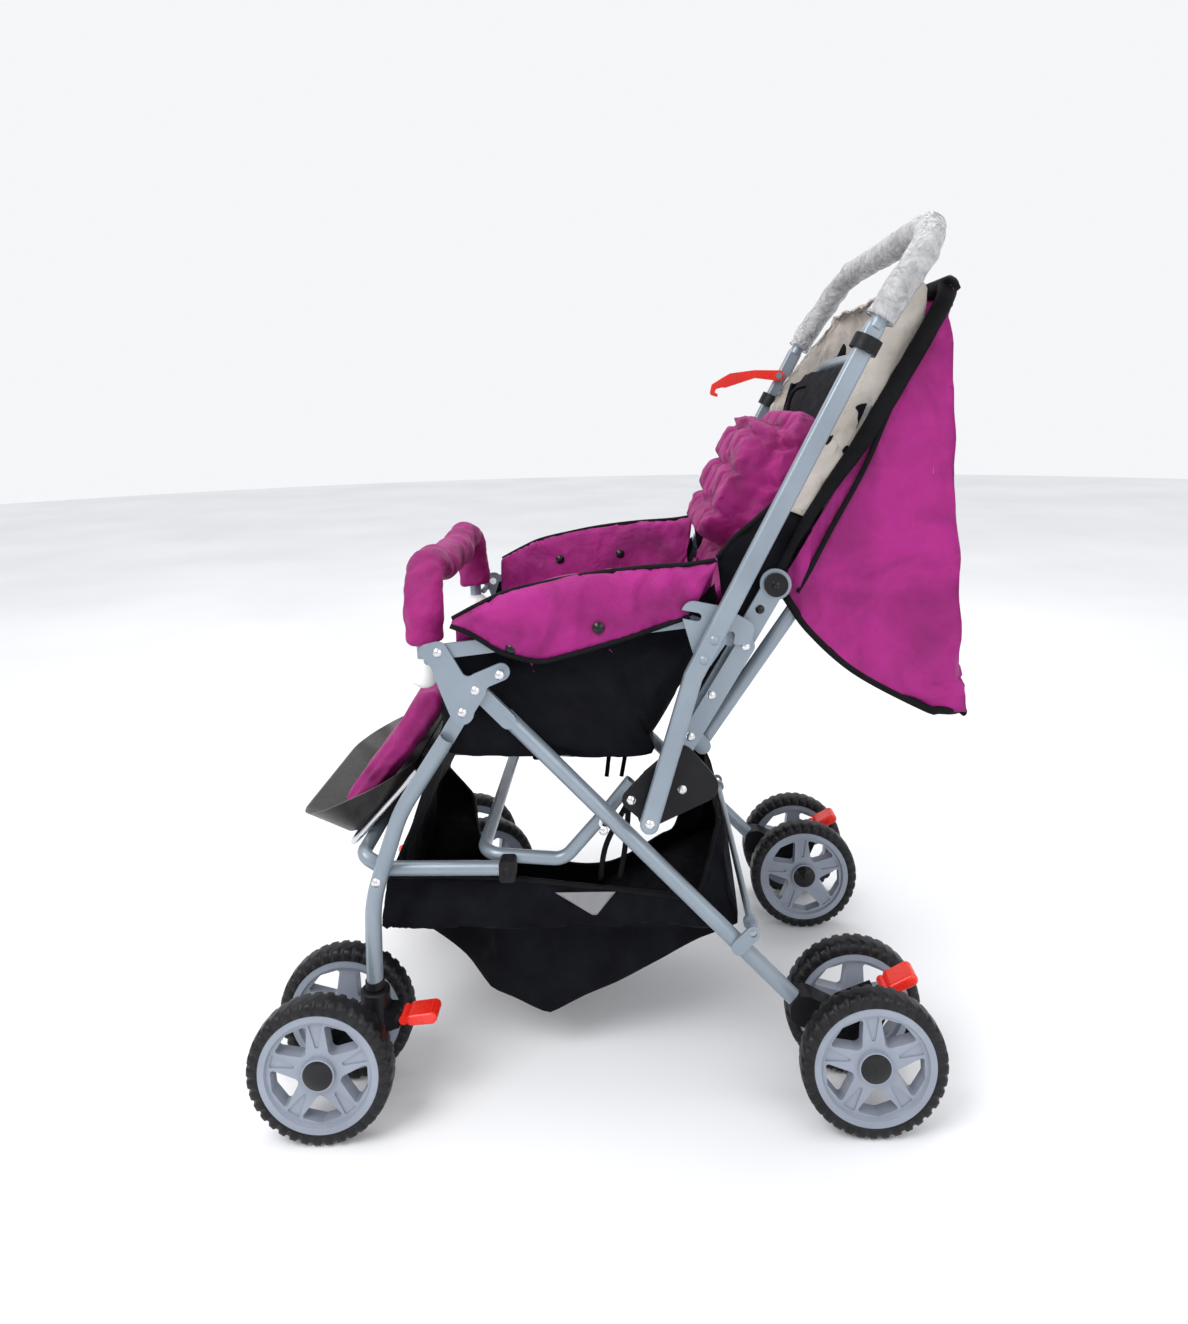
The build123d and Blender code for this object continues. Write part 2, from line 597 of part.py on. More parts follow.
def build_tray():
    """Moulded foot tray: a bowl with a raised rim, tilted up towards the seat."""
    rim_plane = Plane(origin=(0, -281, 327), x_dir=(1, 0, 0), z_dir=(0, -0.405, 0.914))
    floor_plane = Plane(origin=(0, -264.8, 287.1), x_dir=(1, 0, 0), z_dir=(0, -0.405, 0.914))
    width = 2 * TRAY_HALF_WIDTH
    wall = 3.0
    outer = loft([floor_plane * tray_section(width - 44, 84, 38), rim_plane * tray_section(width, 156, 62)])
    lifted = rim_plane.offset(0.01)
    inner_floor = floor_plane.offset(wall)
    inner = loft([inner_floor * tray_section(width - 48, 80, 36), lifted * tray_section(width - 6, 150, 59)])
    save("tray", outer - inner)
    wire_foot = (-290.0, 262.0)
    wire_head = (-206.0, 354.0)
    wire = tube(u_path(138.0, [wire_head, wire_foot], 30.0), 3.5, wall=0)
    save("foot_frame", wire)
    pad = hull_face((-292, 300, 7), (-232, 372, 8))
    pad += hull_face((-232, 372, 8), (-196, 426, 11))
    save("foot_pad", side_plate(pad, -115, 230))


# --- basket -------------------------------------------------------------------
def basket_outline():
    points = [(-236, 240), (-248, 156), (-234, 132), (-105, 75), (-60, 54), (118, 142)]
    points += [(163, 158), (163, 190), (146, 304), (137, 304), (112, 212), (0, 222), (-105, 236)]
    return make_face(Polyline(*points, close=True))


def basket_front_view(inset):
    """Front view of the basket: wide where it hangs, narrow between the wheels."""
    top = BASKET_HALF_WIDTH - inset
    low = BASKET_LOW_HALF_WIDTH - inset
    points = [(-top, 400), (-top, 222), (-low, 158), (-low, 0)]
    points += [(low, 0), (low, 158), (top, 222), (top, 400)]
    return make_face(Polyline(*points, close=True))


def basket_block(side_face, inset):
    """The basket's bulk, hollowed at its front corners where the casters swing."""
    across = extrude(Plane.YZ.offset(-200) * side_face, amount=400)
    along = extrude(Plane.XZ.offset(-300) * basket_front_view(inset), amount=700)
    block = across & along
    for side in (-1, 1):
        on_floor = (Align.CENTER, Align.CENTER, Align.MIN)
        swing = Cylinder(CASTER_SWING_R + inset, CASTER_SWING_Z + inset, align=on_floor)
        block -= Pos(side * PAIR_X, FRONT_STEM[0], 0) * swing
    return block


def build_basket():
    """Open fabric basket slung under the seat."""
    space = [(-233, 400), (-233, 240), (-245, 157), (-232, 135.5), (-104, 78.5), (-60, 57.5)]
    space += [(117, 145), (160, 160.5), (160, 190), (143, 301), (130, 400)]
    inner = basket_block(make_face(Polyline(*space, close=True)), 3.0)
    save("basket", basket_block(basket_outline(), 0) - inner)


# --- backrest -----------------------------------------------------------------
def back_plane(out):
    """Plane of the backrest, moved out along its normal (negative is towards the child)."""
    rise = radians(BACK_RISE)
    normal = (0, sin(rise), -cos(rise))
    origin = (0, BACK_FOOT[0] + out * normal[1], BACK_FOOT[1] + out * normal[2])
    return Plane(origin=origin, x_dir=(1, 0, 0), z_dir=normal)


def back_slab(half_width, low, high, corner):
    middle = (low + high) / 2
    return Pos(0, -middle) * fillet(Rectangle(2 * half_width, high - low).vertices(), corner)


def build_back():
    """Reclining backrest: tube frame, side bars, fabric panel and padded insert."""
    save("back_frame", tube(u_path(BACK_TUBE_X, [(117, 393), (233, 556), (333, 826)], 40.0), BACK_TUBE_R))
    bar = side_plate(bar_face(RECLINE_PIVOT, CANOPY_HUB, 12.0), BACK_BAR_X, BAR_THICKNESS)
    bar += disc(CANOPY_HUB, 17.0, BACK_BAR_X, BAR_THICKNESS)
    bar -= disc(RECLINE_PIVOT, RIVET_R + RUNNING_GAP, BACK_BAR_X - 10, 20)
    bar -= disc(CANOPY_HUB, RIVET_R + 0.02, BACK_BAR_X - 10, 20)
    lug = bar_face(RECLINE_PIVOT, (121, 399), 9.0)
    lug = side_plate(lug, BACK_TUBE_X + BACK_TUBE_R, BACK_BAR_X - BACK_TUBE_X - BACK_TUBE_R)
    bar += lug - disc(RECLINE_PIVOT, 6.0, BACK_TUBE_X, BACK_BAR_X - BACK_TUBE_X)
    save("back_bars", *both(bar))
    bar_outer = BACK_BAR_X + BAR_THICKNESS
    hub = disc(CANOPY_HUB, RIVET_R, CANOPY_X - 3.5, bar_outer - CANOPY_X + 3.5)
    hub += disc(CANOPY_HUB, 13.0, bar_outer, 4) + disc(CANOPY_HUB, 5, CANOPY_X - 4, 1.5)
    hub += dome_at(CANOPY_HUB, bar_outer + 4)
    stud = dome_at(BAR_STUD, bar_outer)
    save("canopy_hubs", *both(hub), *both(stud))
    panel = extrude(back_plane(-13) * back_slab(BACK_HALF_WIDTH, 12, BACK_LENGTH, 55), amount=26)
    save("back_panel", panel)
    pad = extrude(back_plane(-14) * back_slab(148, 60, 375, 50), amount=-26)
    head = extrude(back_plane(-39.9) * back_slab(135, 190, 345, 60), amount=-42)
    save("back_pad", pad + head)


# --- canopy -------------------------------------------------------------------
def hoop(points, corner):
    """One wire hoop of the canopy, from the hub over the top and back down."""
    return tube(u_path(CANOPY_X + 1.7, points, corner), HOOP_R, wall=0)


def build_canopy():
    """Folded-back canopy: two wire hoops and the fabric between them."""
    front = hoop([(206, 588), (246, 656), (300, 731), (352, 816), (404, 908)], 30.0)
    rear = hoop([(214, 562), (240, 524), (290, 478), (366, 436), (412, 427)], 30.0)
    eyes = both(side_plate(Pos(*CANOPY_HUB) * (Circle(9) - Circle(RIVET_R + RUNNING_GAP)), CANOPY_X, 3.4))
    save("canopy_hoops", front + eyes[0] + eyes[1], rear - eyes[0] - eyes[1])
    outline = [(216, 582), (250, 652), (305, 731), (357, 815), (400, 894), (395, 800), (398, 697)]
    outline += [(407, 557), (409, 438), (367, 446), (293, 487), (245, 533), (219, 570)]
    face = make_face(Polyline(*outline, close=True))
    half = CANOPY_X + CANOPY_SKIN
    body = extrude(Plane.YZ.offset(-half) * face, amount=2 * half)
    space = [(100, 582), (100, 960), (396.5, 960), (391.5, 800), (394.5, 697), (403.5, 557)]
    space += [(405.5, 380), (100, 380)]
    hollow = make_face(Polyline(*space, close=True))
    inner = extrude(Plane.YZ.offset(-CANOPY_X) * hollow, amount=2 * CANOPY_X)
    save("canopy_shell", body - inner)


# --- handle -------------------------------------------------------------------
def handle_arm():
    """Flat-sided arm of the handle, from below its pivot up to the grip."""
    along, _ = direction(HANDLE_PIVOT, HANDLE_KNEE)
    foot = (HANDLE_PIVOT[0] - along.X * 2, HANDLE_PIVOT[1] - along.Y * 2)
    band = bar_face(foot, HANDLE_KNEE, HANDLE_HALF_WIDE)
    band += bar_face(HANDLE_KNEE, HANDLE_SHOULDER, HANDLE_HALF_WIDE)
    arm = side_plate(band, HANDLE_X - HANDLE_HALF_THICK, 2 * HANDLE_HALF_THICK)
    arm = fillet(arm.edges().group_by(Axis.X)[-1] + arm.edges().group_by(Axis.X)[0], 4.0)
    arm -= disc(HANDLE_PIVOT, RIVET_R + RUNNING_GAP, HANDLE_X - 20, 40)
    for point in LATCH_RIVETS:
        arm -= disc(point, RIVET_R, HANDLE_X - 20, 40)
    return arm


def handle_top_path(start):
    """Centre line of the round top tube, from a distance past the shoulder."""
    along, _ = direction(HANDLE_SHOULDER, HANDLE_TOP)
    foot = (HANDLE_SHOULDER[0] + along.X * start, HANDLE_SHOULDER[1] + along.Y * start)
    return u_path(HANDLE_X, [foot, HANDLE_TOP], HANDLE_CORNER_R)


def build_handle():
    """Push handle: flat-sided arms, round top tube, foam grip, collars and latch plates."""
    loop = handle_arm()
    loop += mirror(loop, about=Plane.YZ)
    loop += tube(handle_top_path(0), 9.0, wall=0)
    lever_pin = rivet(LEVER_PIVOT, HANDLE_X - HANDLE_HALF_THICK - 7.6, HANDLE_X + HANDLE_HALF_THICK)
    save("handle_tube", loop + mirror(lever_pin, about=Plane.YZ))
    wrap = handle_top_path(15.0)
    grip = sweep(Plane(origin=wrap @ 0, z_dir=wrap % 0) * (Circle(GRIP_R) - Circle(9.05)), path=wrap)
    save("handle_grip", grip)
    save("handle_collars", collar(1, 391.6, 15.0, 16.0), collar(-1, 329.0, 15.5, 18.0))
    save("latch_plates", *both(latch_plate()))
    save("release_lever", release_lever())


def collar(side, reach, r, length):
    """Moulded ring round one flat-sided arm, at a distance above the handle's knee."""
    along, _ = direction(HANDLE_KNEE, HANDLE_SHOULDER)
    middle = (side * HANDLE_X, HANDLE_KNEE[0] + along.X * reach, HANDLE_KNEE[1] + along.Y * reach)
    plane = Plane(origin=middle, x_dir=(1, 0, 0), z_dir=(0, along.X, along.Y))
    hole = Rectangle(2 * HANDLE_HALF_THICK + 0.1, 2 * HANDLE_HALF_WIDE + 0.1)
    return extrude(plane * (Circle(r) - hole), amount=length / 2, both=True)


def latch_plate():
    """Two-hooked latch plate that rides over the pins of the bar and the front plate."""
    shape = hull_face((112, 551, 13), (140, 548, 10), (122, 500, 9), (135, 522, 11))
    shape += hull_face((140, 548, 10), (166, 533, 10), (166, 524, 8), (135, 528, 9))
    plate = side_plate(shape, LATCH_X, PLATE_THICKNESS)
    plate -= side_plate(bar_face((115.6, 547.0), (92, 551.6), 4.6), LATCH_X - 5, 12)
    plate -= side_plate(bar_face((151, 527.0), (148, 505.0), 4.2), LATCH_X - 5, 12)
    for point in LATCH_RIVETS:
        spacer = (LATCH_X + PLATE_THICKNESS, HANDLE_X - HANDLE_HALF_THICK, 5.0)
        plate += rivet(point, LATCH_X, HANDLE_X + HANDLE_HALF_THICK, spacer)
    return plate


def release_lever():
    """Curved red lever with a hooked end, on the inside of the right arm."""
    shape = hull_face((*LEVER_PIVOT, 8), (240, 818, 6))
    shape += hull_face((240, 818, 6), (205, 812, 8), (194, 806, 8))
    shape += hull_face((194, 807, 7), (180, 801, 5))
    shape += hull_face((178, 801, 4), (175, 791, 3.5))
    shape += hull_face((175, 790, 3.2), (181, 787, 2.4))
    lever = side_plate(shape, HANDLE_X - HANDLE_HALF_THICK - 7.5, 7.0)
    lever -= disc(LEVER_PIVOT, RIVET_R + RUNNING_GAP, 0, 300)
    return mirror(lever, about=Plane.YZ)


build_wheels()
build_legs()
build_links()
build_front()
build_rear_pins()
build_seat_frame()
build_rear_unit()
build_bumper()
build_seat()
build_tray()
build_basket()
build_back()
build_canopy()
build_handle()
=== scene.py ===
import json
import math

import bpy
import numpy as np
from mathutils import Matrix, Vector, noise


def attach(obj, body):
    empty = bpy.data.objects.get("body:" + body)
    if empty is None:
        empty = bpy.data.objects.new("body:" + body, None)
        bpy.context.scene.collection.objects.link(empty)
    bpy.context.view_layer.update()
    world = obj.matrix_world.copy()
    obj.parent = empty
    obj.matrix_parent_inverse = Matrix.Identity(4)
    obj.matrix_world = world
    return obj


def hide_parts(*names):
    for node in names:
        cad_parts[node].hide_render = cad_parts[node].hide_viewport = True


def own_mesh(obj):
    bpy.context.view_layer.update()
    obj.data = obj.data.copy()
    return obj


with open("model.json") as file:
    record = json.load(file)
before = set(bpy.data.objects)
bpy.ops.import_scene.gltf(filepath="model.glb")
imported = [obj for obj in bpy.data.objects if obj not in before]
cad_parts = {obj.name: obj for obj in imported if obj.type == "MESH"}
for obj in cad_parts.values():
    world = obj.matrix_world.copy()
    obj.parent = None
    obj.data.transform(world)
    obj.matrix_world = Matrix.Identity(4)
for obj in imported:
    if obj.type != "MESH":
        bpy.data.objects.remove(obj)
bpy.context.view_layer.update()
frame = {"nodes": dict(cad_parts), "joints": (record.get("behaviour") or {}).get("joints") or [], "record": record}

scene = bpy.context.scene
JOINTS = {joint["name"]: joint for joint in frame["joints"]}
LEFT_STEM = JOINTS["caster_left_swivel"]["pos_m"]
RIGHT_STEM = JOINTS["caster_right_swivel"]["pos_m"]
# The stroller's middle plane, and the middle of its wheelbase, in the row frame.
MID_X = (LEFT_STEM[0] + RIGHT_STEM[0]) / 2
MID_Y = JOINTS["fold"]["pos_m"][1] + 0.1246


def at(x, y, z):
    """Row-frame point from stroller millimetres: x from the middle plane, y from mid-wheelbase."""
    return Vector((MID_X + x / 1000, MID_Y + y / 1000, z / 1000))


def smoothstep(low, high, value):
    t = np.clip((value - low) / (high - low), 0, 1)
    return t * t * (3 - 2 * t)


# --- materials ----------------------------------------------------------------
class Shader:
    """A Principled material with helpers that add procedural nodes."""

    def __init__(self, name, **sockets):
        self.mat = bpy.data.materials.new(name)
        self.mat.use_nodes = True
        self.nodes = self.mat.node_tree.nodes
        self.links = self.mat.node_tree.links
        self.bsdf = self.nodes["Principled BSDF"]
        self.coords = self.nodes.new("ShaderNodeTexCoord").outputs["Object"]
        self.normal = None
        for socket, value in sockets.items():
            self.bsdf.inputs[socket.replace("_", " ")].default_value = value

    def noise(self, scale, detail=4.0, distortion=0.0, stretch=(1, 1, 1)):
        mapping = self.nodes.new("ShaderNodeMapping")
        mapping.inputs["Scale"].default_value = stretch
        self.links.new(self.coords, mapping.inputs["Vector"])
        node = self.nodes.new("ShaderNodeTexNoise")
        node.inputs["Scale"].default_value = scale
        node.inputs["Detail"].default_value = detail
        node.inputs["Distortion"].default_value = distortion
        self.links.new(mapping.outputs["Vector"], node.inputs["Vector"])
        return node.outputs["Fac"]

    def wave(self, scale, direction, distortion=0.0):
        node = self.nodes.new("ShaderNodeTexWave")
        node.bands_direction = direction
        node.inputs["Scale"].default_value = scale
        node.inputs["Distortion"].default_value = distortion
        self.links.new(self.coords, node.inputs["Vector"])
        return node.outputs["Fac"]

    def ramp(self, factor, low, high, stops=(0.35, 0.65)):
        node = self.nodes.new("ShaderNodeValToRGB")
        for element, stop, value in zip(node.color_ramp.elements, stops, (low, high)):
            element.position = stop
            element.color = value
        self.links.new(factor, node.inputs["Fac"])
        return node.outputs["Color"]

    def math(self, kind, a, b):
        node = self.nodes.new("ShaderNodeMath")
        node.operation = kind
        for socket, value in zip(node.inputs, (a, b)):
            if isinstance(value, (int, float)):
                socket.default_value = value
            else:
                self.links.new(value, socket)
        return node.outputs["Value"]

    def colour(self, factor, low, high, stops=(0.35, 0.65)):
        out = self.ramp(factor, (*low, 1), (*high, 1), stops)
        self.links.new(out, self.bsdf.inputs["Base Color"])

    def rough(self, factor, low, high):
        out = self.ramp(factor, (low, low, low, 1), (high, high, high, 1), (0.3, 0.7))
        self.links.new(out, self.bsdf.inputs["Roughness"])

    def bump(self, height, distance, strength=1.0):
        node = self.nodes.new("ShaderNodeBump")
        node.inputs["Strength"].default_value = strength
        node.inputs["Distance"].default_value = distance
        self.links.new(height, node.inputs["Height"])
        if self.normal is not None:
            self.links.new(self.normal, node.inputs["Normal"])
        self.normal = node.outputs["Normal"]
        self.links.new(self.normal, self.bsdf.inputs["Normal"])


def cloth_material(name, light, dark, sheen, threads=420.0, crease=0.0035, rough=(0.5, 0.7), gloss=0.22):
    """Woven cloth: two tones, soft crumples, fine crossing threads."""
    s = Shader(name, Sheen_Weight=sheen, Sheen_Roughness=0.4, Specular_IOR_Level=gloss)
    soft = s.noise(14.0, 5.0, 0.8)
    s.colour(soft, dark, light, (0.28, 0.62))
    s.rough(s.noise(60.0), *rough)
    if crease:
        s.bump(s.noise(8.0, 2.0, 1.2), crease * 4, 0.5)
        s.bump(s.noise(26.0, 3.0, 1.6), crease, 0.75)
        s.bump(s.noise(70.0, 4.0, 1.0), crease * 0.4, 0.6)
    warp = s.math("MULTIPLY", s.wave(threads, "Y"), s.wave(threads, "Z"))
    s.bump(warp, 0.00035, 0.5)
    return s.mat


def metal_material(name, light, dark, metallic, rough, coat=0.2):
    """Painted or polished metal with faint drawn lines, dirt and small scratches."""
    s = Shader(name, Metallic=metallic, Coat_Weight=coat, Coat_Roughness=0.18)
    s.colour(s.noise(11.0, 5.0), dark, light, (0.3, 0.7))
    s.rough(s.noise(90.0, 6.0, 0.3, (1, 1, 0.15)), *rough)
    s.bump(s.noise(520.0, 3.0), 0.00012, 0.35)
    return s.mat


def plastic_material(name, light, dark, rough, grain=900.0, depth=0.00012, gloss=0.5):
    """Moulded plastic with a fine grain and slight unevenness."""
    s = Shader(name, Specular_IOR_Level=gloss)
    s.colour(s.noise(18.0, 4.0), dark, light)
    s.rough(s.noise(130.0, 5.0), *rough)
    s.bump(s.noise(grain, 2.0), depth, 0.5)
    return s.mat


MAGENTA = cloth_material("magenta_cloth", (0.30, 0.012, 0.165), (0.15, 0.005, 0.08), 0.04)
# A darker copy of the magenta cloth for the bumper and the pads: the extra darkness is painted shade.
SHADED_MAGENTA_PAD = cloth_material("magenta_pad_painted_shade", (0.27, 0.01, 0.135), (0.13, 0.004, 0.065), 0.04, 380.0, 0.0025)
BLACK_CLOTH = cloth_material("black_cloth", (0.005, 0.0055, 0.008), (0.002, 0.002, 0.0035), 0.0, 300.0, 0.0022,
                             (0.7, 0.9), 0.08)
PIPING = cloth_material("black_piping", (0.005, 0.005, 0.006), (0.002, 0.002, 0.003), 0.0, 700.0, 0.0008,
                        (0.6, 0.8), 0.12)
LINER = cloth_material("beige_lining", (0.47, 0.43, 0.39), (0.32, 0.29, 0.26), 0.05, 520.0, 0.005, (0.35, 0.6))
STEEL_BLUE = metal_material("blue_grey_paint", (0.24, 0.285, 0.33), (0.19, 0.23, 0.27), 0.35, (0.3, 0.45))
STEEL = metal_material("bright_steel", (0.72, 0.73, 0.75), (0.55, 0.56, 0.58), 1.0, (0.14, 0.3), 0.0)
WIRE = metal_material("dark_wire", (0.09, 0.09, 0.095), (0.05, 0.05, 0.055), 0.5, (0.35, 0.5))
RIM = plastic_material("rim_plastic", (0.255, 0.285, 0.345), (0.215, 0.24, 0.29), (0.28, 0.4))
BLACK = plastic_material("black_plastic", (0.008, 0.008, 0.009), (0.004, 0.004, 0.005), (0.38, 0.55), 700.0,
                         0.0003, 0.2)
TRAY = plastic_material("tray_plastic", (0.022, 0.021, 0.02), (0.014, 0.013, 0.013), (0.3, 0.45), 500.0, 0.0003)
GLOSS = plastic_material("glossy_black", (0.007, 0.007, 0.008), (0.004, 0.004, 0.005), (0.1, 0.2), 250.0,
                         0.00005, 0.3)
WHITE = plastic_material("white_plastic", (0.83, 0.83, 0.82), (0.74, 0.74, 0.73), (0.25, 0.4))
RED = plastic_material("red_plastic", (0.80, 0.028, 0.014), (0.68, 0.018, 0.01), (0.22, 0.34), 400.0, 0.00008)
FOAM = plastic_material("grip_foam", (0.07, 0.072, 0.078), (0.04, 0.041, 0.046), (0.6, 0.85), 380.0, 0.0005)


def tyre_material():
    s = Shader("tyre_rubber", Specular_IOR_Level=0.25)
    s.colour(s.noise(40.0, 5.0), (0.004, 0.004, 0.005), (0.010, 0.010, 0.012))
    s.rough(s.noise(160.0, 5.0), 0.32, 0.55)
    s.bump(s.noise(420.0, 3.0), 0.0003, 0.6)
    return s.mat


def film_material():
    """Thin clear crumpled film."""
    s = Shader("clear_film", Transmission_Weight=0.72, IOR=1.3, Specular_IOR_Level=0.9)
    # The whiter streaks mixed into the film's colour are painted highlights on its crinkles.
    s.colour(s.noise(40.0, 2.0, 2.5), (0.70, 0.71, 0.72), (0.99, 0.99, 1.0))
    s.rough(s.noise(55.0, 3.0), 0.05, 0.18)
    s.bump(s.noise(45.0, 2.0, 3.0), 0.006, 0.8)
    return s.mat


def mesh_material():
    """Fine grey net."""
    s = Shader("grey_net", Specular_IOR_Level=0.3)
    holes = s.math("MULTIPLY", s.wave(260.0, "Y"), s.wave(260.0, "Z"))
    s.colour(holes, (0.30, 0.30, 0.31), (0.05, 0.05, 0.055), (0.2, 0.5))
    s.rough(s.noise(80.0), 0.6, 0.8)
    s.bump(holes, 0.0006, 0.8)
    return s.mat


TYRE = tyre_material()
FILM = film_material()
NET = mesh_material()

BY_SLOT = {
    "frame_silver": STEEL_BLUE, "steel_bright": STEEL, "black_plastic": BLACK, "black_gloss": GLOSS,
    "white_plastic": WHITE, "rim_grey": RIM, "tyre_black": TYRE, "grip_foam": FOAM,
    "magenta_fabric": MAGENTA, "black_fabric": BLACK_CLOTH, "pad_fabric": SHADED_MAGENTA_PAD, "red_plastic": RED,
}
BY_NODE = {"tray": TRAY, "canopy_hoops": WIRE, "foot_frame": STEEL}
for part in frame["record"]["subparts"]:
    node = frame["nodes"][part["node"]]
    chosen = BY_NODE.get(part["node"], BY_SLOT[part["material_slot"]])
    if part["node"].startswith("pedal_"):
        chosen = RED
    node.data.materials.clear()
    node.data.materials.append(chosen)


# --- mesh helpers -------------------------------------------------------------
def mesh_object(name, verts, faces, mat):
    mesh = bpy.data.meshes.new(name)
    mesh.from_pydata([tuple(v) for v in verts], [], faces)
    mesh.update()
    mesh.polygons.foreach_set("use_smooth", [True] * len(mesh.polygons))
    mesh.materials.append(mat)
    obj = bpy.data.objects.new(name, mesh)
    scene.collection.objects.link(obj)
    return obj


def curve(points, count, smooth=True):
    """Evenly spaced points on a curve through the given points."""
    p = np.array(points, float)
    fine = p
    if smooth and len(p) > 2:
        ext = np.vstack([2 * p[0] - p[1], p, 2 * p[-1] - p[-2]])
        fine = []
        for k in range(len(p) - 1):
            a, b, c, d = ext[k:k + 4]
            for s in np.linspace(0, 1, 12, endpoint=False):
                fine.append(0.5 * (2 * b + (c - a) * s + (2 * a - 5 * b + 4 * c - d) * s ** 2
                                   + (3 * b - a - 3 * c + d) * s ** 3))
        fine = np.array(fine + [p[-1]])
    length = np.r_[0, np.cumsum(np.linalg.norm(np.diff(fine, axis=0), axis=1))]
    t = np.linspace(0, length[-1], count)
    return np.column_stack([np.interp(t, length, fine[:, k]) for k in range(fine.shape[1])])


def grid(name, rows, mat, ring=False):
    """A mesh of quads over rows of points; ring joins each row's end to its start."""
    rows = np.array(rows)
    count, across = rows.shape[:2]
    last = across if ring else across - 1
    faces = []
    for i in range(count - 1):
        for j in range(last):
            k = (j + 1) % across
            faces.append((i * across + j, i * across + k, (i + 1) * across + k, (i + 1) * across + j))
    return mesh_object(name, rows.reshape(-1, 3), faces, mat)


def tube(name, points, radius, mat, sides=10, flat=1.0, caps=True):
    """A round tube along points in stroller millimetres; flat squeezes it across X."""
    p = np.array([at(*q) for q in points])
    tangents = np.gradient(p, axis=0)
    tangents /= np.linalg.norm(tangents, axis=1)[:, None]
    side = np.cross(tangents[0], (1.0, 0.0, 0.0))
    if np.linalg.norm(side) < 0.2:
        side = np.cross(tangents[0], (0.0, 1.0, 0.0))
    radii = np.broadcast_to(radius, len(p))
    rows = []
    for centre, tangent, reach in zip(p, tangents, radii):
        side = side - tangent * side.dot(tangent)
        side /= np.linalg.norm(side)
        other = np.cross(tangent, side)
        ring = []
        for k in range(sides):
            turn = 2 * math.pi * k / sides
            offset = (side * math.cos(turn) + other * math.sin(turn)) * reach / 1000
            offset[0] *= flat
            ring.append(centre + offset)
        rows.append(ring)
    obj = grid(name, rows, mat, ring=True)
    if caps:
        count = len(rows)
        ends = [list(range(sides))[::-1], [(count - 1) * sides + k for k in range(sides)]]
        verts = [v.co.copy() for v in obj.data.vertices]
        faces = [tuple(f.vertices) for f in obj.data.polygons] + ends
        old = obj.data
        mesh = bpy.data.meshes.new(name)
        mesh.from_pydata(verts, [], faces)
        mesh.update()
        mesh.polygons.foreach_set("use_smooth", [True] * len(mesh.polygons))
        mesh.materials.append(mat)
        obj.data = mesh
        bpy.data.meshes.remove(old)
    return obj


def bake(obj):
    """Turn an object's modifiers into its mesh."""
    evaluated = obj.evaluated_get(bpy.context.evaluated_depsgraph_get())
    mesh = bpy.data.meshes.new_from_object(evaluated)
    old = obj.data
    obj.modifiers.clear()
    obj.data = mesh
    bpy.data.meshes.remove(old)
    mesh.polygons.foreach_set("use_smooth", [True] * len(mesh.polygons))
    return obj


def thicken(obj, thickness):
    """Give a sheet a thickness, in millimetres."""
    solid = obj.modifiers.new("solid", "SOLIDIFY")
    solid.thickness = thickness / 1000
    solid.offset = 0
    return bake(obj)


def coords(obj):
    co = np.zeros(len(obj.data.vertices) * 3)
    obj.data.vertices.foreach_get("co", co)
    return co.reshape(-1, 3)


def set_coords(obj, co):
    obj.data.vertices.foreach_set("co", np.ascontiguousarray(co).ravel())
    obj.data.update()


def roughen(obj, amount, size, seed=0.0):
    """Push a mesh's points along their normals by smooth noise, in millimetres."""
    co = coords(obj)
    for k, vertex in enumerate(obj.data.vertices):
        value = noise.noise(Vector(co[k]) / (size / 1000) + Vector((seed, seed * 2, 0)))
        co[k] += np.array(vertex.normal) * value * amount / 1000
    set_coords(obj, co)


def drape(obj, frames=16, pressure=0.0, shrink=0.0, cap=10.0, pins=None, tension=12.0, bending=0.4,
          gravity=0.0):
    """Let a mesh relax as cloth, limit how far its points go, and keep the result."""
    rest = coords(obj)
    mod = obj.modifiers.new("cloth", "CLOTH")
    s = mod.settings
    s.quality = 4
    s.mass = 0.2
    s.tension_stiffness = tension
    s.compression_stiffness = tension
    s.shear_stiffness = tension / 3
    s.bending_stiffness = bending
    s.shrink_min = -shrink
    s.use_pressure = pressure != 0
    s.uniform_pressure_force = pressure
    s.effector_weights.gravity = gravity
    mod.collision_settings.use_collision = False
    if pins is not None and len(pins):
        group = obj.vertex_groups.new(name="pin")
        group.add([int(k) for k in pins], 1.0, "REPLACE")
        s.vertex_group_mass = "pin"
        s.pin_stiffness = 5.0
    mod.point_cache.frame_start = 1
    mod.point_cache.frame_end = frames
    for f in range(1, frames + 1):
        scene.frame_set(f)
    evaluated = obj.evaluated_get(bpy.context.evaluated_depsgraph_get())
    got = np.zeros(len(rest) * 3)
    evaluated.data.vertices.foreach_get("co", got)
    move = got.reshape(-1, 3) - rest
    length = np.linalg.norm(move, axis=1)
    limit = np.minimum(1.0, cap / 1000 / np.maximum(length, 1e-9))
    obj.modifiers.remove(mod)
    set_coords(obj, rest + move * limit[:, None])
    obj.vertex_groups.clear()
    scene.frame_set(1)
    return obj


def soft_copy(node, name, mat, voxel):
    """A fresh object with an even mesh in the shape of a CAD node."""
    mesh = frame["nodes"][node].data.copy()
    mesh.materials.clear()
    mesh.materials.append(mat)
    obj = bpy.data.objects.new(name, mesh)
    scene.collection.objects.link(obj)
    weld = obj.modifiers.new("weld", "WELD")
    weld.merge_threshold = 0.0001
    remesh = obj.modifiers.new("remesh", "REMESH")
    remesh.mode = "VOXEL"
    remesh.voxel_size = voxel / 1000
    remesh.use_smooth_shade = True
    bake(obj)
    obj.data.materials.clear()
    obj.data.materials.append(mat)
    return obj


def subdivide(obj):
    sub = obj.modifiers.new("sub", "SUBSURF")
    sub.levels = 1
    return bake(obj)


def finish_piece(obj, body, slot, *nodes):
    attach(obj, body)
    if nodes:
        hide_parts(*nodes)
    return obj


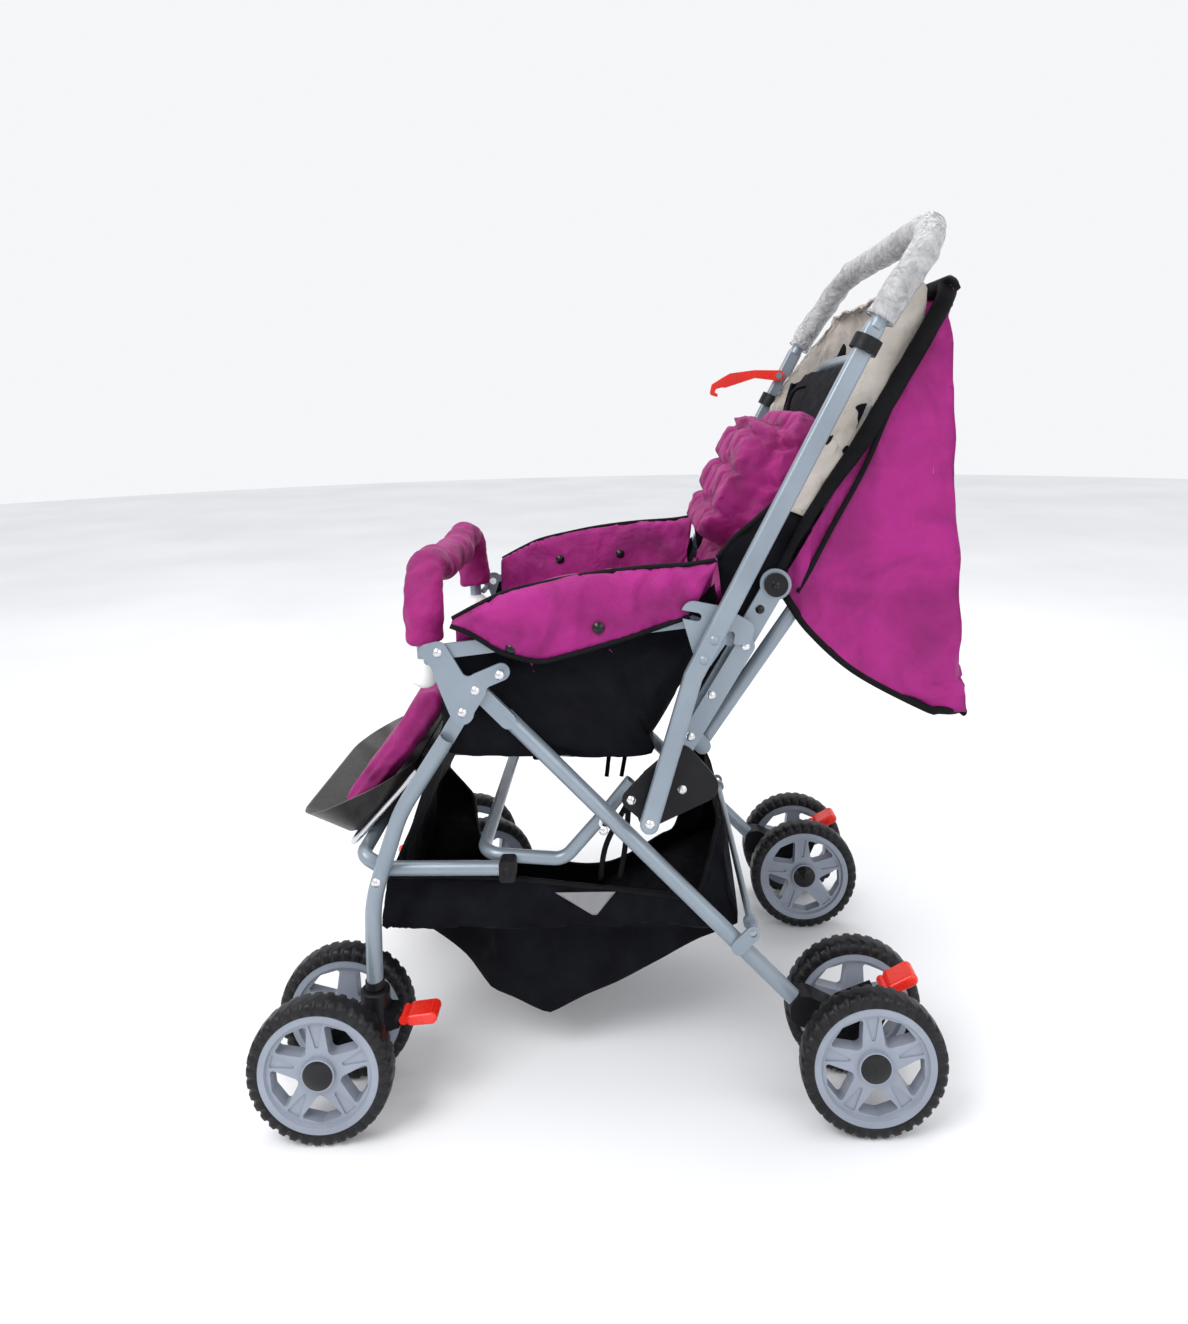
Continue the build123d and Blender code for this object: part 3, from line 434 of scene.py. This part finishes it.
# --- tyres --------------------------------------------------------------------
LUGS = 36
TYRE_PROFILE = [(-11.6, 64.3), (-12.9, 66), (-13.1, 70), (-12.2, 74), (-9, 76.7), (0, 77.4),
                (9, 76.7), (12.2, 74), (13.1, 70), (12.9, 66), (11.6, 64.3)]


def tyre_rows():
    """Rings of (x, y, z) round the X axis, with scalloped lugs at both shoulders."""
    profile = curve(TYRE_PROFILE, 23)
    steps = LUGS * 10
    rows = []
    for k in range(steps + 1):
        turn = 2 * math.pi * k / steps
        row = []
        for x, r in profile:
            phase = LUGS * turn + (0.0 if x > 0 else math.pi)
            notch = smoothstep(0.15, 0.75, math.sin(phase))
            shoulder = smoothstep(5.0, 9.5, abs(x)) * smoothstep(65.5, 69.0, r)
            wave = 0.5 * math.sin(LUGS * turn) * (1 - smoothstep(2.0, 7.0, abs(x)))
            depth = 2.3 * notch * shoulder
            radius = r - depth + wave * 0.4
            width = x * (1 - 0.075 * notch * shoulder)
            row.append((width / 1000, radius * math.cos(turn) / 1000, radius * math.sin(turn) / 1000))
        rows.append(row)
    return rows


def build_tyres():
    rows = tyre_rows()
    for name, joint in JOINTS.items():
        if not (name.startswith("wheel_") and name.endswith("_spin")):
            continue
        body = joint["child"]
        corner = body[len("wheel_"):]
        axis = Vector(joint["axis"]).normalized()
        turn = Matrix((axis, Vector((0, 0, 1)).cross(axis), Vector((0, 0, 1)))).transposed()
        place = np.array(turn)
        centre = np.array(joint["pos_m"])
        moved = [np.array(row) @ place.T + centre for row in rows]
        tyre = grid(f"tread_{corner}", moved, TYRE)
        weld = tyre.modifiers.new("weld", "WELD")
        weld.merge_threshold = 0.00002
        bake(tyre)
        finish_piece(tyre, body, "tyre_black", f"tyre_{corner}")


build_tyres()


# --- seat ---------------------------------------------------------------------
SEAT_TOP = [(-149, 541), (-120, 556), (-90, 569), (-45, 579), (0, 587), (55, 593), (109, 596), (138, 600)]
FLAP_LOW = [(-149, 540), (-132, 533), (-118, 525), (-96, 511), (-72, 503), (-50, 500), (-20, 507), (11, 515),
            (60, 530), (108, 546)]


def seat_shell():
    """Black outer cloth of the seat: both sides and the floor in one sheet."""
    count = 62
    low = curve([(-159, 404), (-152, 389), (46, 385), (62, 408), (96, 465), (132, 520), (140, 560)], count)
    top = curve([(-153, 512), (-118, 520), (-72, 498), (-20, 503), (60, 526), (110, 548), (138, 575)], count)
    rows = []
    for k in range(count):
        t = k / (count - 1)
        front = (1 - smoothstep(0.0, 0.10, t)) * 10
        side = []
        for s in np.linspace(0, 1, 20):
            y = top[k][0] * (1 - s) + low[k][0] * s - front * math.sin(math.pi * s)
            z = top[k][1] * (1 - s) + low[k][1] * s
            x = 179.5 + 2.0 * math.sin(math.pi * s) - 6 * smoothstep(0.9, 1.0, s)
            side.append((x, y, z))
        across = np.linspace(168, -168, 44)
        floor = [(x, low[k][0], low[k][1] - 2.5 * math.cos(x / 172 * math.pi / 2)) for x in across]
        rows.append(side + floor + [(-x, y, z) for x, y, z in reversed(side)])
    points = [[at(*p) for p in row] for row in rows]
    obj = grid("seat_outer_cloth", points, BLACK_CLOTH)
    roughen(obj, 1.4, 45, 3.0)
    across = len(points[0])
    pins = [i * across + j for i in range(count) for j in range(across)
            if j in (0, across - 1) or i in (0, count - 1)]
    drape(obj, 14, pressure=1.2, shrink=0.03, cap=6.0, pins=pins)
    thicken(obj, 1.4)
    finish_piece(obj, "seat", "black_fabric", "seat_shell")
    return obj


def seat_lining():
    """Magenta lining: over the floor, up both sides, over the top and folded down outside."""
    count = 66
    floor = curve([(-149, 408), (40, 401), (66, 436), (100, 492), (130, 540)], count)
    top = curve(SEAT_TOP, count)
    flap = curve(FLAP_LOW, count)
    rows = []
    for k in range(count):
        ty, tz = top[k]
        fy, fz = flap[k]
        by, bz = floor[k]
        ends = smoothstep(0.0, 0.06, k / (count - 1)) * smoothstep(1.0, 0.92, k / (count - 1))
        section = [(207.2, fy, fz), (207.6, (fy * 2 + ty) / 3, fz + (tz - fz) * 0.33)]
        section += [(206.6, (fy + ty * 2) / 3, fz + (tz - fz) * 0.7), (203.5, ty, tz - 2 - 2 * ends)]
        section += [(197, ty, tz + 2.5), (187, ty, tz + 2.0), (180, ty, tz - 5)]
        section += [(175.5, (ty + by) / 2, (tz + bz) / 2), (172, by, bz + 16)]
        section += [(164, by, bz + 2), (120, by, bz - 1)]
        left = curve(section, 44)
        middle = [(x, by, bz - 2 * math.cos(x / 120 * math.pi / 2)) for x in np.linspace(112, -112, 24)]
        rows.append([*map(tuple, left)] + middle + [(-x, y, z) for x, y, z in reversed(left)])
    points = [[at(*p) for p in row] for row in rows]
    obj = grid("seat_lining", points, MAGENTA)
    roughen(obj, 1.2, 38, 7.0)
    across = len(points[0])
    keep = {0, 18, 19, 20, 21, across - 1, across - 19, across - 20, across - 21, across - 22}
    pins = [i * across + j for i in range(count) for j in range(across) if j in keep or i in (0, count - 1)]
    drape(obj, 14, pressure=-0.6, shrink=0.035, cap=5.0, pins=pins)
    thicken(obj, 1.2)
    finish_piece(obj, "seat", "magenta_fabric", "seat_cushion")
    return obj


def mirrored_tubes(name, points, radius, mat, body, slot, flat=1.0, count=60):
    """The same tube on both sides of the stroller."""
    for side, word in ((1, "left"), (-1, "right")):
        path = curve([(side * x, y, z) for x, y, z in points], count)
        obj = tube(f"{name}_{word}", path, radius, mat, 10, flat)
        finish_piece(obj, body, slot)


def snap_button(name, centre, side):
    """A domed snap button with a small rim, facing outward across X."""
    profile = [(0.0, 3.4), (2.2, 3.2), (4.0, 2.3), (4.8, 1.3), (6.2, 1.1), (6.6, 0.4), (6.6, -0.6)]
    rows = []
    for r, h in profile:
        row = []
        for k in range(24):
            turn = 2 * math.pi * k / 24
            row.append(at(centre[0] + side * h, centre[1] + max(r, 0.02) * math.cos(turn),
                          centre[2] + max(r, 0.02) * math.sin(turn)))
        rows.append(row)
    return finish_piece(grid(name, rows, GLOSS, ring=True), "seat", "black_gloss")


def build_seat():
    seat_shell()
    seat_lining()
    low = [(208.2, y, z) for y, z in FLAP_LOW]
    mirrored_tubes("flap_piping", low, 2.8, PIPING, "seat", "black_fabric")
    top = [(196, y, z + 4) for y, z in SEAT_TOP]
    mirrored_tubes("seat_top_piping", top, 2.8, PIPING, "seat", "black_fabric")
    rear = [(196, 138, 604), (197, 128, 585), (203, 116, 565), (208, 108, 547)]
    mirrored_tubes("flap_end_piping", rear, 2.6, PIPING, "seat", "black_fabric", count=24)
    for side, word in ((1, "left"), (-1, "right")):
        snap_button(f"snap_front_{word}", (side * 208.2, -84, 514), side)
        snap_button(f"snap_rear_{word}", (side * 208.0, 10, 535), side)
        snap_button(f"snap_inner_front_{word}", (side * 177.0, -60, 545), -side)
        snap_button(f"snap_inner_rear_{word}", (side * 176.5, 30, 552), -side)


build_seat()


# --- backrest -----------------------------------------------------------------
BACK_FOOT = np.array((112.0, 412.0))
BACK_ALONG = np.array((0.4509, 0.8926))
BACK_FRONT = np.array((-0.8926, 0.4509))


def build_back_pad():
    """Thick gathered cushion of the backrest, with sewn channels."""
    obj = soft_copy("back_pad", "back_cushion", SHADED_MAGENTA_PAD, 5.5)
    co = coords(obj)
    x = (co[:, 0] - MID_X) * 1000
    flat = np.column_stack([(co[:, 1] - MID_Y) * 1000, co[:, 2] * 1000]) - BACK_FOOT
    along = flat @ BACK_ALONG
    out = flat @ BACK_FRONT
    front = smoothstep(24, 36, out)
    channel = np.zeros(len(co))
    for line in (120, 178, 228, 280, 330):
        channel = np.maximum(channel, 1 - smoothstep(0, 9, np.abs(along - line - 5 * np.sin(x / 22))))
    for line in (-72, 0, 72):
        channel = np.maximum(channel, (1 - smoothstep(0, 8, np.abs(x - line))) * 0.9)
    push = channel * front * 11.0
    co[:, 1] -= BACK_FRONT[0] * push / 1000
    co[:, 2] -= BACK_FRONT[1] * push / 1000
    set_coords(obj, co)
    pins = np.nonzero((channel * front > 0.7) | (out < 16))[0]
    roughen(obj, 1.5, 24, 5.0)
    drape(obj, 18, pressure=5.0, shrink=0.04, cap=8.0, pins=pins, tension=8, bending=0.1)
    subdivide(obj)
    finish_piece(obj, "back", "pad_fabric", "back_pad")


def build_back_panel():
    obj = soft_copy("back_panel", "back_cover", BLACK_CLOTH, 6.0)
    roughen(obj, 1.5, 40, 9.0)
    drape(obj, 12, pressure=1.5, shrink=0.03, cap=5.0, tension=15)
    finish_piece(obj, "back", "black_fabric", "back_panel")


def build_wings():
    """Black side wings that join the seat's sides to the backrest."""
    count = 46
    front = curve([(141, 604), (160, 626), (187, 648), (220, 678), (253, 712), (276, 756), (292, 800)], count)
    rear = curve([(152, 500), (190, 545), (226, 590), (254, 650), (284, 720), (312, 784), (322, 812)], count)
    for side, word in ((1, "left"), (-1, "right")):
        rows = []
        for k in range(count):
            row = []
            for s in np.linspace(0, 1, 18):
                y = front[k][0] * (1 - s) + rear[k][0] * s
                z = front[k][1] * (1 - s) + rear[k][1] * s
                x = side * (184.6 + 1.0 * math.sin(math.pi * s) - 3.0 * (1 - s) ** 2)
                row.append(at(x, y, z))
            rows.append(row)
        obj = grid(f"back_wing_{word}", rows, BLACK_CLOTH)
        roughen(obj, 1.0, 30, 11.0 + side)
        pins = [i * 18 + j for i in range(count) for j in range(18) if j in (0, 17) or i in (0, count - 1)]
        drape(obj, 12, shrink=0.03, cap=2.2, pins=pins)
        thicken(obj, 1.2)
        finish_piece(obj, "back", "black_fabric")
    line = [(141, 604), (160, 626), (187, 648), (220, 678), (253, 712), (276, 756), (292, 802)]
    edge = [(182, y, z) for y, z in line]
    mirrored_tubes("wing_piping", edge, 2.8, PIPING, "back", "black_fabric")


def build_loops():
    """Elastic loops and a small buckle strap at the backrest's top."""
    loops = {
        "loop_left": [(150, 318, 800), (150, 327, 812), (150, 341, 806), (150, 350, 792), (150, 345, 778)],
        "loop_right": [(-60, 268, 742), (-60, 262, 756), (-60, 270, 787), (-60, 291, 795), (-60, 312, 786)],
    }
    for name, points in loops.items():
        obj = tube(name, curve(points, 40), 2.6, PIPING, 8)
        finish_piece(obj, "back", "black_fabric")
    strap = [(120, 300, 786), (120, 304, 806), (120, 314, 816), (120, 328, 815), (120, 338, 804)]
    rows = []
    for x, y, z in curve(strap, 30):
        rows.append([at(x + w, y, z) for w in np.linspace(-11, 11, 7)])
    obj = grid("back_top_strap", rows, PIPING)
    thicken(obj, 2.0)
    finish_piece(obj, "back", "black_fabric")


build_back_pad()
build_back_panel()
build_wings()
build_loops()


# --- bumper, foot pad ---------------------------------------------------------
def build_bumper():
    obj = soft_copy("bumper_cover", "bumper_sleeve", SHADED_MAGENTA_PAD, 4.5)
    drape(obj, 16, pressure=4.0, shrink=-0.04, cap=7.0, tension=8, bending=0.15)
    roughen(obj, 3.2, 20, 2.0)
    roughen(obj, 1.6, 9, 4.0)
    subdivide(obj)
    finish_piece(obj, "front_frame", "magenta_fabric", "bumper_cover")


def build_foot_pad():
    obj = soft_copy("foot_pad", "leg_rest_pad", SHADED_MAGENTA_PAD, 4.5)
    roughen(obj, 1.5, 25, 4.0)
    drape(obj, 16, pressure=4.5, shrink=0.06, cap=9.0, tension=10, bending=0.2)
    subdivide(obj)
    finish_piece(obj, "front_frame", "magenta_fabric", "foot_pad")


build_bumper()
build_foot_pad()


# --- basket -------------------------------------------------------------------
BASKET_LOW = [(-238, 238), (-247, 190), (-247, 152), (-234, 132), (-105, 76), (-60, 56), (40, 103), (118, 143),
              (160, 159), (161, 190), (150, 260), (145, 302)]
BASKET_TOP = [(-236, 241), (-170, 240), (-105, 237), (5, 224), (70, 216), (112, 213), (128, 250), (141, 303)]
# The right edge has slumped: it hangs low between the basket's front and rear corners.
BASKET_SLUMPED = [(-236, 241), (-205, 205), (-150, 150), (-70, 112), (5, 108), (70, 140), (118, 176),
                  (139, 262)]


# The casters swing in this circle, so the basket's foot keeps out of it.
PAIR_X, FRONT_STEM_Y, SWING_R = 193.0, -246.0, 139.0


def basket_wall(top, low, wide, narrow):
    """One side's section: from the top edge straight down, in to the foot, and under."""
    (ty, tz), (ly, lz) = top, low
    kink = max(min(160.0, tz - 3), lz + 1.0)
    bend = max(min(180.0, tz - 1), kink + 0.5)
    foot = narrow if lz < 158 else narrow + (wide - narrow) * smoothstep(158, 222, lz)
    reach = (wide - foot) * smoothstep(160, 200, tz)
    drop = (tz - lz) or 1.0

    def on_side(x, z):
        return (x, ty + (ly - ty) * (tz - z) / drop, z)
    section = [(foot + reach, ty, tz), on_side(foot + reach, bend)]
    section += [on_side(foot + reach / 2, (bend + kink) / 2)]
    section += [on_side(foot, kink), (foot - 1, ly, lz + 0.5), (foot - 8, ly, lz)]
    return curve(section, 30, smooth=False), foot


def gather(obj):
    """Give a basket piece a mesh of its own."""
    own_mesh(obj)


def build_basket():
    """Black cloth basket in one sheet, its bound edge, and its straps and ties."""
    count = 74
    low = curve(BASKET_LOW, count, smooth=False)
    top = curve(BASKET_TOP, count)
    slumped = curve(BASKET_SLUMPED, count)
    rows = []
    for k in range(count):
        ly, lz = low[k]
        to_stem = abs(ly - FRONT_STEM_Y)
        clear = PAIR_X - math.sqrt(max(0.0, SWING_R ** 2 - to_stem ** 2))
        narrow = 121 - (121 - min(121.0, clear - 1)) * (1 - smoothstep(150, 175, lz))
        left, foot = basket_wall(top[k], low[k], 160.0, narrow)
        far = slumped[k].copy()
        far[1] = max(far[1], lz + 2.0)
        right, foot = basket_wall(far, low[k], 160.0, narrow)
        middle = [(x, ly, lz) for x in np.linspace(foot - 12, 12 - foot, 36)]
        rows.append([*map(tuple, left)] + middle + [(-x, y, z) for x, y, z in right[::-1]])
    edges = [[row[0] for row in rows], [row[-1] for row in rows]]
    points = [[at(*p) for p in row] for row in rows]
    obj = grid("basket_cloth", points, BLACK_CLOTH)
    smooth = obj.modifiers.new("smooth", "SMOOTH")
    smooth.factor = 0.5
    smooth.iterations = 2
    bake(obj)
    roughen(obj, 3.0, 60, 6.0)
    across = len(points[0])
    pins = [i * across + j for i in range(count) for j in range(across)
            if j in (0, across - 1) or i in (0, count - 1)]
    drape(obj, 14, shrink=0.02, cap=4.0, pins=pins)
    thicken(obj, 1.4)
    finish_piece(obj, "front_frame", "black_fabric", "basket")
    gather(obj)
    for edge, word in zip(edges, ("left", "right")):
        path = curve([(x, y, z + 1) for x, y, z in edge[::3] + edge[-1:]], 90)
        gather(finish_piece(tube(f"basket_edge_{word}", path, 3.0, PIPING), "front_frame", "black_fabric"))
    for side, word in ((1, "left"), (-1, "right")):
        for start, tie in ((26, "strap"), (4, "tie")):
            points = [(147, start, 226), (149, start + 8, 270), (152, 39, 322)]
            path = curve([(side * x, y, z) for x, y, z in points], 20)
            obj = tube(f"basket_{tie}_{word}", path, 3.2, PIPING, 8, 0.4)
            gather(finish_piece(obj, "front_frame", "black_fabric"))


def build_net():
    """Small triangular net window let into the basket's left side."""
    rows = []
    for s in np.linspace(0, 1, 9):
        y0, y1 = -47 + 42 * s, 22 - 22 * s
        rows.append([at(163.6 - 1.0 * s, y, 222 - 27 * s) for y in np.linspace(y0, y1, 14)])
    obj = grid("basket_net", rows, NET)
    thicken(obj, 0.8)
    gather(finish_piece(obj, "front_frame", "black_fabric"))


def build_leg_panel():
    """Black cloth that hangs across the front, from the seat's edge down to the basket."""
    path = curve([(-172, 414), (-184, 380), (-195, 340), (-211, 290), (-233, 243)], 40)
    rows = []
    for y, z in path:
        half = 146 - 24 * smoothstep(300, 400, z)
        rows.append([at(x, y + 3 * math.sin(x / 31), z) for x in np.linspace(half, -half, 60)])
    obj = grid("leg_panel", rows, BLACK_CLOTH)
    roughen(obj, 2.0, 40, 13.0)
    pins = [i * 60 + j for i in range(40) for j in range(60) if i in (0, 39)]
    drape(obj, 12, cap=4.0, pins=pins)
    thicken(obj, 1.2)
    finish_piece(obj, "front_frame", "black_fabric")


build_basket()
build_net()
build_leg_panel()


# --- canopy -------------------------------------------------------------------
HUB = np.array((208.0, 574.0))


def canopy_rows(count, shift, half, start, stop, front_reach=0.0, inner=0.03):
    """Rows from the front hoop to the rear one; each runs hub, rear edge, across, hub."""
    top = np.array((398.0, 893.0))
    low = np.array((410.0, 431.0))
    rear = curve([top, (397, 800), (399, 697), (403, 620), (407, 557), low], 101)
    rear_hoop = curve([HUB, (214, 562), (240, 524), (290, 478), (366, 436), low], 101)
    bulge = rear_hoop - HUB - np.outer(np.linspace(0, 1, 101), low - HUB)
    rows = []
    for k in range(count):
        t = start + (stop - start) * k / (count - 1)
        end = rear[int(round(100 * min(max(t, 0), 1)))] - np.array((shift, 0))
        if t < 0:
            end = top - np.array((shift - 60 * t, 20 * t))
        ray = end - HUB
        away = np.array((ray[1], -ray[0])) / np.linalg.norm(ray)
        side = []
        for s in np.linspace(inner, 1, 36):
            lift = front_reach * math.sin(math.pi * min(s * 1.05, 1.0)) * (1 - smoothstep(start, 0.12, t))
            y, z = HUB + ray * s - away * lift + bulge[int(round(100 * s))] * smoothstep(0.45, 1.0, t)
            side.append((half + 5.5 * (1 - smoothstep(-0.05, 0.08, t)) * (front_reach > 0), y, z))
        corner = [(half - 3, end[0] + 1.5, end[1]), (half - 8, end[0] + 2.5, end[1])]
        middle = [(x, end[0] + 3.0, end[1]) for x in np.linspace(half - 16, 16 - half, 46)]
        near = side + corner
        rows.append(near + middle + [(-x, y, z) for x, y, z in reversed(near)])
    return rows


def hold_sides(obj, across, low, high):
    """Keep the points of the two side faces between two distances from the middle."""
    co = coords(obj)
    x = (co[:, 0] - MID_X) * 1000
    place = np.arange(len(co)) % across
    side = (place < 35) | (place >= across - 35)
    co[side, 0] = MID_X + np.sign(x[side]) * np.clip(np.abs(x[side]), low, high) / 1000
    set_coords(obj, co)


def build_canopy():
    rows = canopy_rows(54, 0.0, 189.0, 0.0, 1.0)
    points = [[at(*p) for p in row] for row in rows]
    obj = grid("canopy_cloth", points, MAGENTA)
    roughen(obj, 3.2, 42, 8.0)
    across = len(points[0])
    pins = [i * across + j for i in range(54) for j in range(across) if i in (0, 53) or j in (0, across - 1)]
    drape(obj, 18, pressure=0.8, shrink=0.05, cap=9.0, pins=pins, tension=8, bending=0.3, gravity=0.2)
    hold_sides(obj, across, 187.8, 191.6)
    thicken(obj, 1.2)
    finish_piece(obj, "canopy", "magenta_fabric", "canopy_shell")

    rows = canopy_rows(50, 24.0, 182.0, -0.30, 0.80, front_reach=34.0, inner=0.22)
    points = [[at(*p) for p in row] for row in rows]
    lining = grid("canopy_lining", points, LINER)
    roughen(lining, 4.0, 34, 12.0)
    across = len(points[0])
    pins = [i * across + j for i in range(50) for j in range(across) if i in (0, 49) or j in (0, across - 1)]
    drape(lining, 16, shrink=0.07, cap=7.0, pins=pins, tension=8, bending=0.2)
    hold_sides(lining, across, 176.0, 187.5)
    thicken(lining, 1.0)
    finish_piece(lining, "canopy", "magenta_fabric")


def hoop_path(side_points, half, corner):
    """A U-shaped path up one side, across and down the other, with round corners."""
    side = [(half, y, z) for y, z in side_points]
    (y1, z1), (y0, z0) = side_points[-1], side_points[-2]
    reach = math.hypot(y1 - y0, z1 - z0)
    back = (y1 + (y0 - y1) * corner / reach, z1 + (z0 - z1) * corner / reach)
    bend = [(half, *back)]
    for turn in (20, 45, 70):
        a = math.radians(turn)
        x = half - corner * (1 - math.cos(a))
        s = math.sin(a)
        bend.append((x, back[0] + (y1 - back[0]) * s, back[1] + (z1 - back[1]) * s))
    bend.append((half - corner, y1, z1))
    left = side[:-1] + bend
    return left + [(-x, y, z) for x, y, z in reversed(left)]


def build_canopy_edges():
    front = hoop_path([(206, 588), (246, 656), (300, 731), (352, 816), (400, 898)], 189.5, 34)
    path = curve(front, 180)
    swell = 5.0 + 5.0 * smoothstep(610, 760, path[:, 2])
    obj = tube("canopy_front_piping", path, swell, PIPING, 14)
    roughen(obj, 0.8, 22, 1.0)
    finish_piece(obj, "canopy", "black_fabric")
    rear = hoop_path([(214, 562), (240, 524), (290, 478), (366, 436), (410, 429)], 189.0, 30)
    obj = tube("canopy_rear_piping", curve(rear, 170), 4.4, PIPING, 12)
    finish_piece(obj, "canopy", "black_fabric")
    for side, word in ((1, "left"), (-1, "right")):
        path = curve([(side * x, y, z) for x, y, z in
                      [(190.5, 228, 566), (192.5, 262, 632), (192.5, 300, 700), (191.5, 332, 772)]], 60)
        obj = tube(f"canopy_strap_{word}", path, 3.0, PIPING, 8, 0.6)
        finish_piece(obj, "canopy", "black_fabric")


build_canopy()
build_canopy_edges()


# --- grip film ----------------------------------------------------------------
def build_film():
    """Crumpled clear film round the handle's foam grip."""
    top = (380.0, 962.0)
    path = curve(hoop_path([(309, 857), top], 226.0, 78), 190)
    obj = tube("grip_film", path, 16.0, FILM, 26, caps=False)
    roughen(obj, 2.6, 16, 15.0)
    thicken(obj, 0.4)
    finish_piece(obj, "handle", "grip_foam")


build_film()


# --- camera, light, floor -----------------------------------------------------
CAMERA_PLACE = (1167.33, 47.17, 770.81)
YAW, PITCH, ROLL = -0.0094715, 0.0381344, -0.0192921
LENS = 24.5306
SHIFT_X, SHIFT_Y = -0.020302, -0.166125


def build_camera():
    forward = Vector((-math.cos(PITCH) * math.cos(YAW), math.cos(PITCH) * math.sin(YAW), -math.sin(PITCH)))
    right = forward.cross(Vector((0, 0, 1))).normalized()
    up = right.cross(forward)
    rolled_right = right * math.cos(ROLL) + up * math.sin(ROLL)
    rolled_up = up * math.cos(ROLL) - right * math.sin(ROLL)
    data = bpy.data.cameras.new("camera")
    data.sensor_width = 36.0
    data.lens = LENS
    data.shift_x = SHIFT_X
    data.shift_y = SHIFT_Y
    camera = bpy.data.objects.new("camera", data)
    scene.collection.objects.link(camera)
    turn = Matrix((rolled_right, rolled_up, -forward)).transposed().to_4x4()
    camera.matrix_world = Matrix.Translation(at(*CAMERA_PLACE)) @ turn
    scene.camera = camera


def area_light(name, place, target, size, power):
    data = bpy.data.lights.new(name, "AREA")
    data.shape = "DISK"
    data.size = size
    data.energy = power
    lamp = bpy.data.objects.new(name, data)
    scene.collection.objects.link(lamp)
    lamp.location = place
    lamp.rotation_euler = (Vector(target) - Vector(place)).to_track_quat("-Z", "Y").to_euler()


def build_stage():
    turns = np.linspace(0, 2 * math.pi, 64, endpoint=False)
    ring = [(9 * math.cos(a), 9 * math.sin(a), -0.0004) for a in turns]
    s = Shader("floor", Specular_IOR_Level=0.15)
    s.colour(s.noise(1.3, 3.0), (0.80, 0.81, 0.83), (0.86, 0.865, 0.875))
    s.rough(s.noise(4.0), 0.8, 0.95)
    floor = mesh_object("floor", ring, [tuple(range(64))], s.mat)
    world = bpy.data.worlds.new("studio")
    world.use_nodes = True
    background = world.node_tree.nodes["Background"]
    background.inputs["Color"].default_value = (0.97, 0.975, 1.0, 1)
    background.inputs["Strength"].default_value = 0.95
    scene.world = world
    area_light("key", (1.5, -1.3, 2.3), (0, 0, 0.4), 1.6, 45)
    area_light("fill", (1.9, 1.6, 1.4), (0, 0, 0.4), 2.0, 18)
    area_light("top", (-0.4, 0.2, 2.8), (0, 0, 0.3), 2.2, 30)


build_camera()
build_stage()
scene.view_settings.view_transform = "Standard"
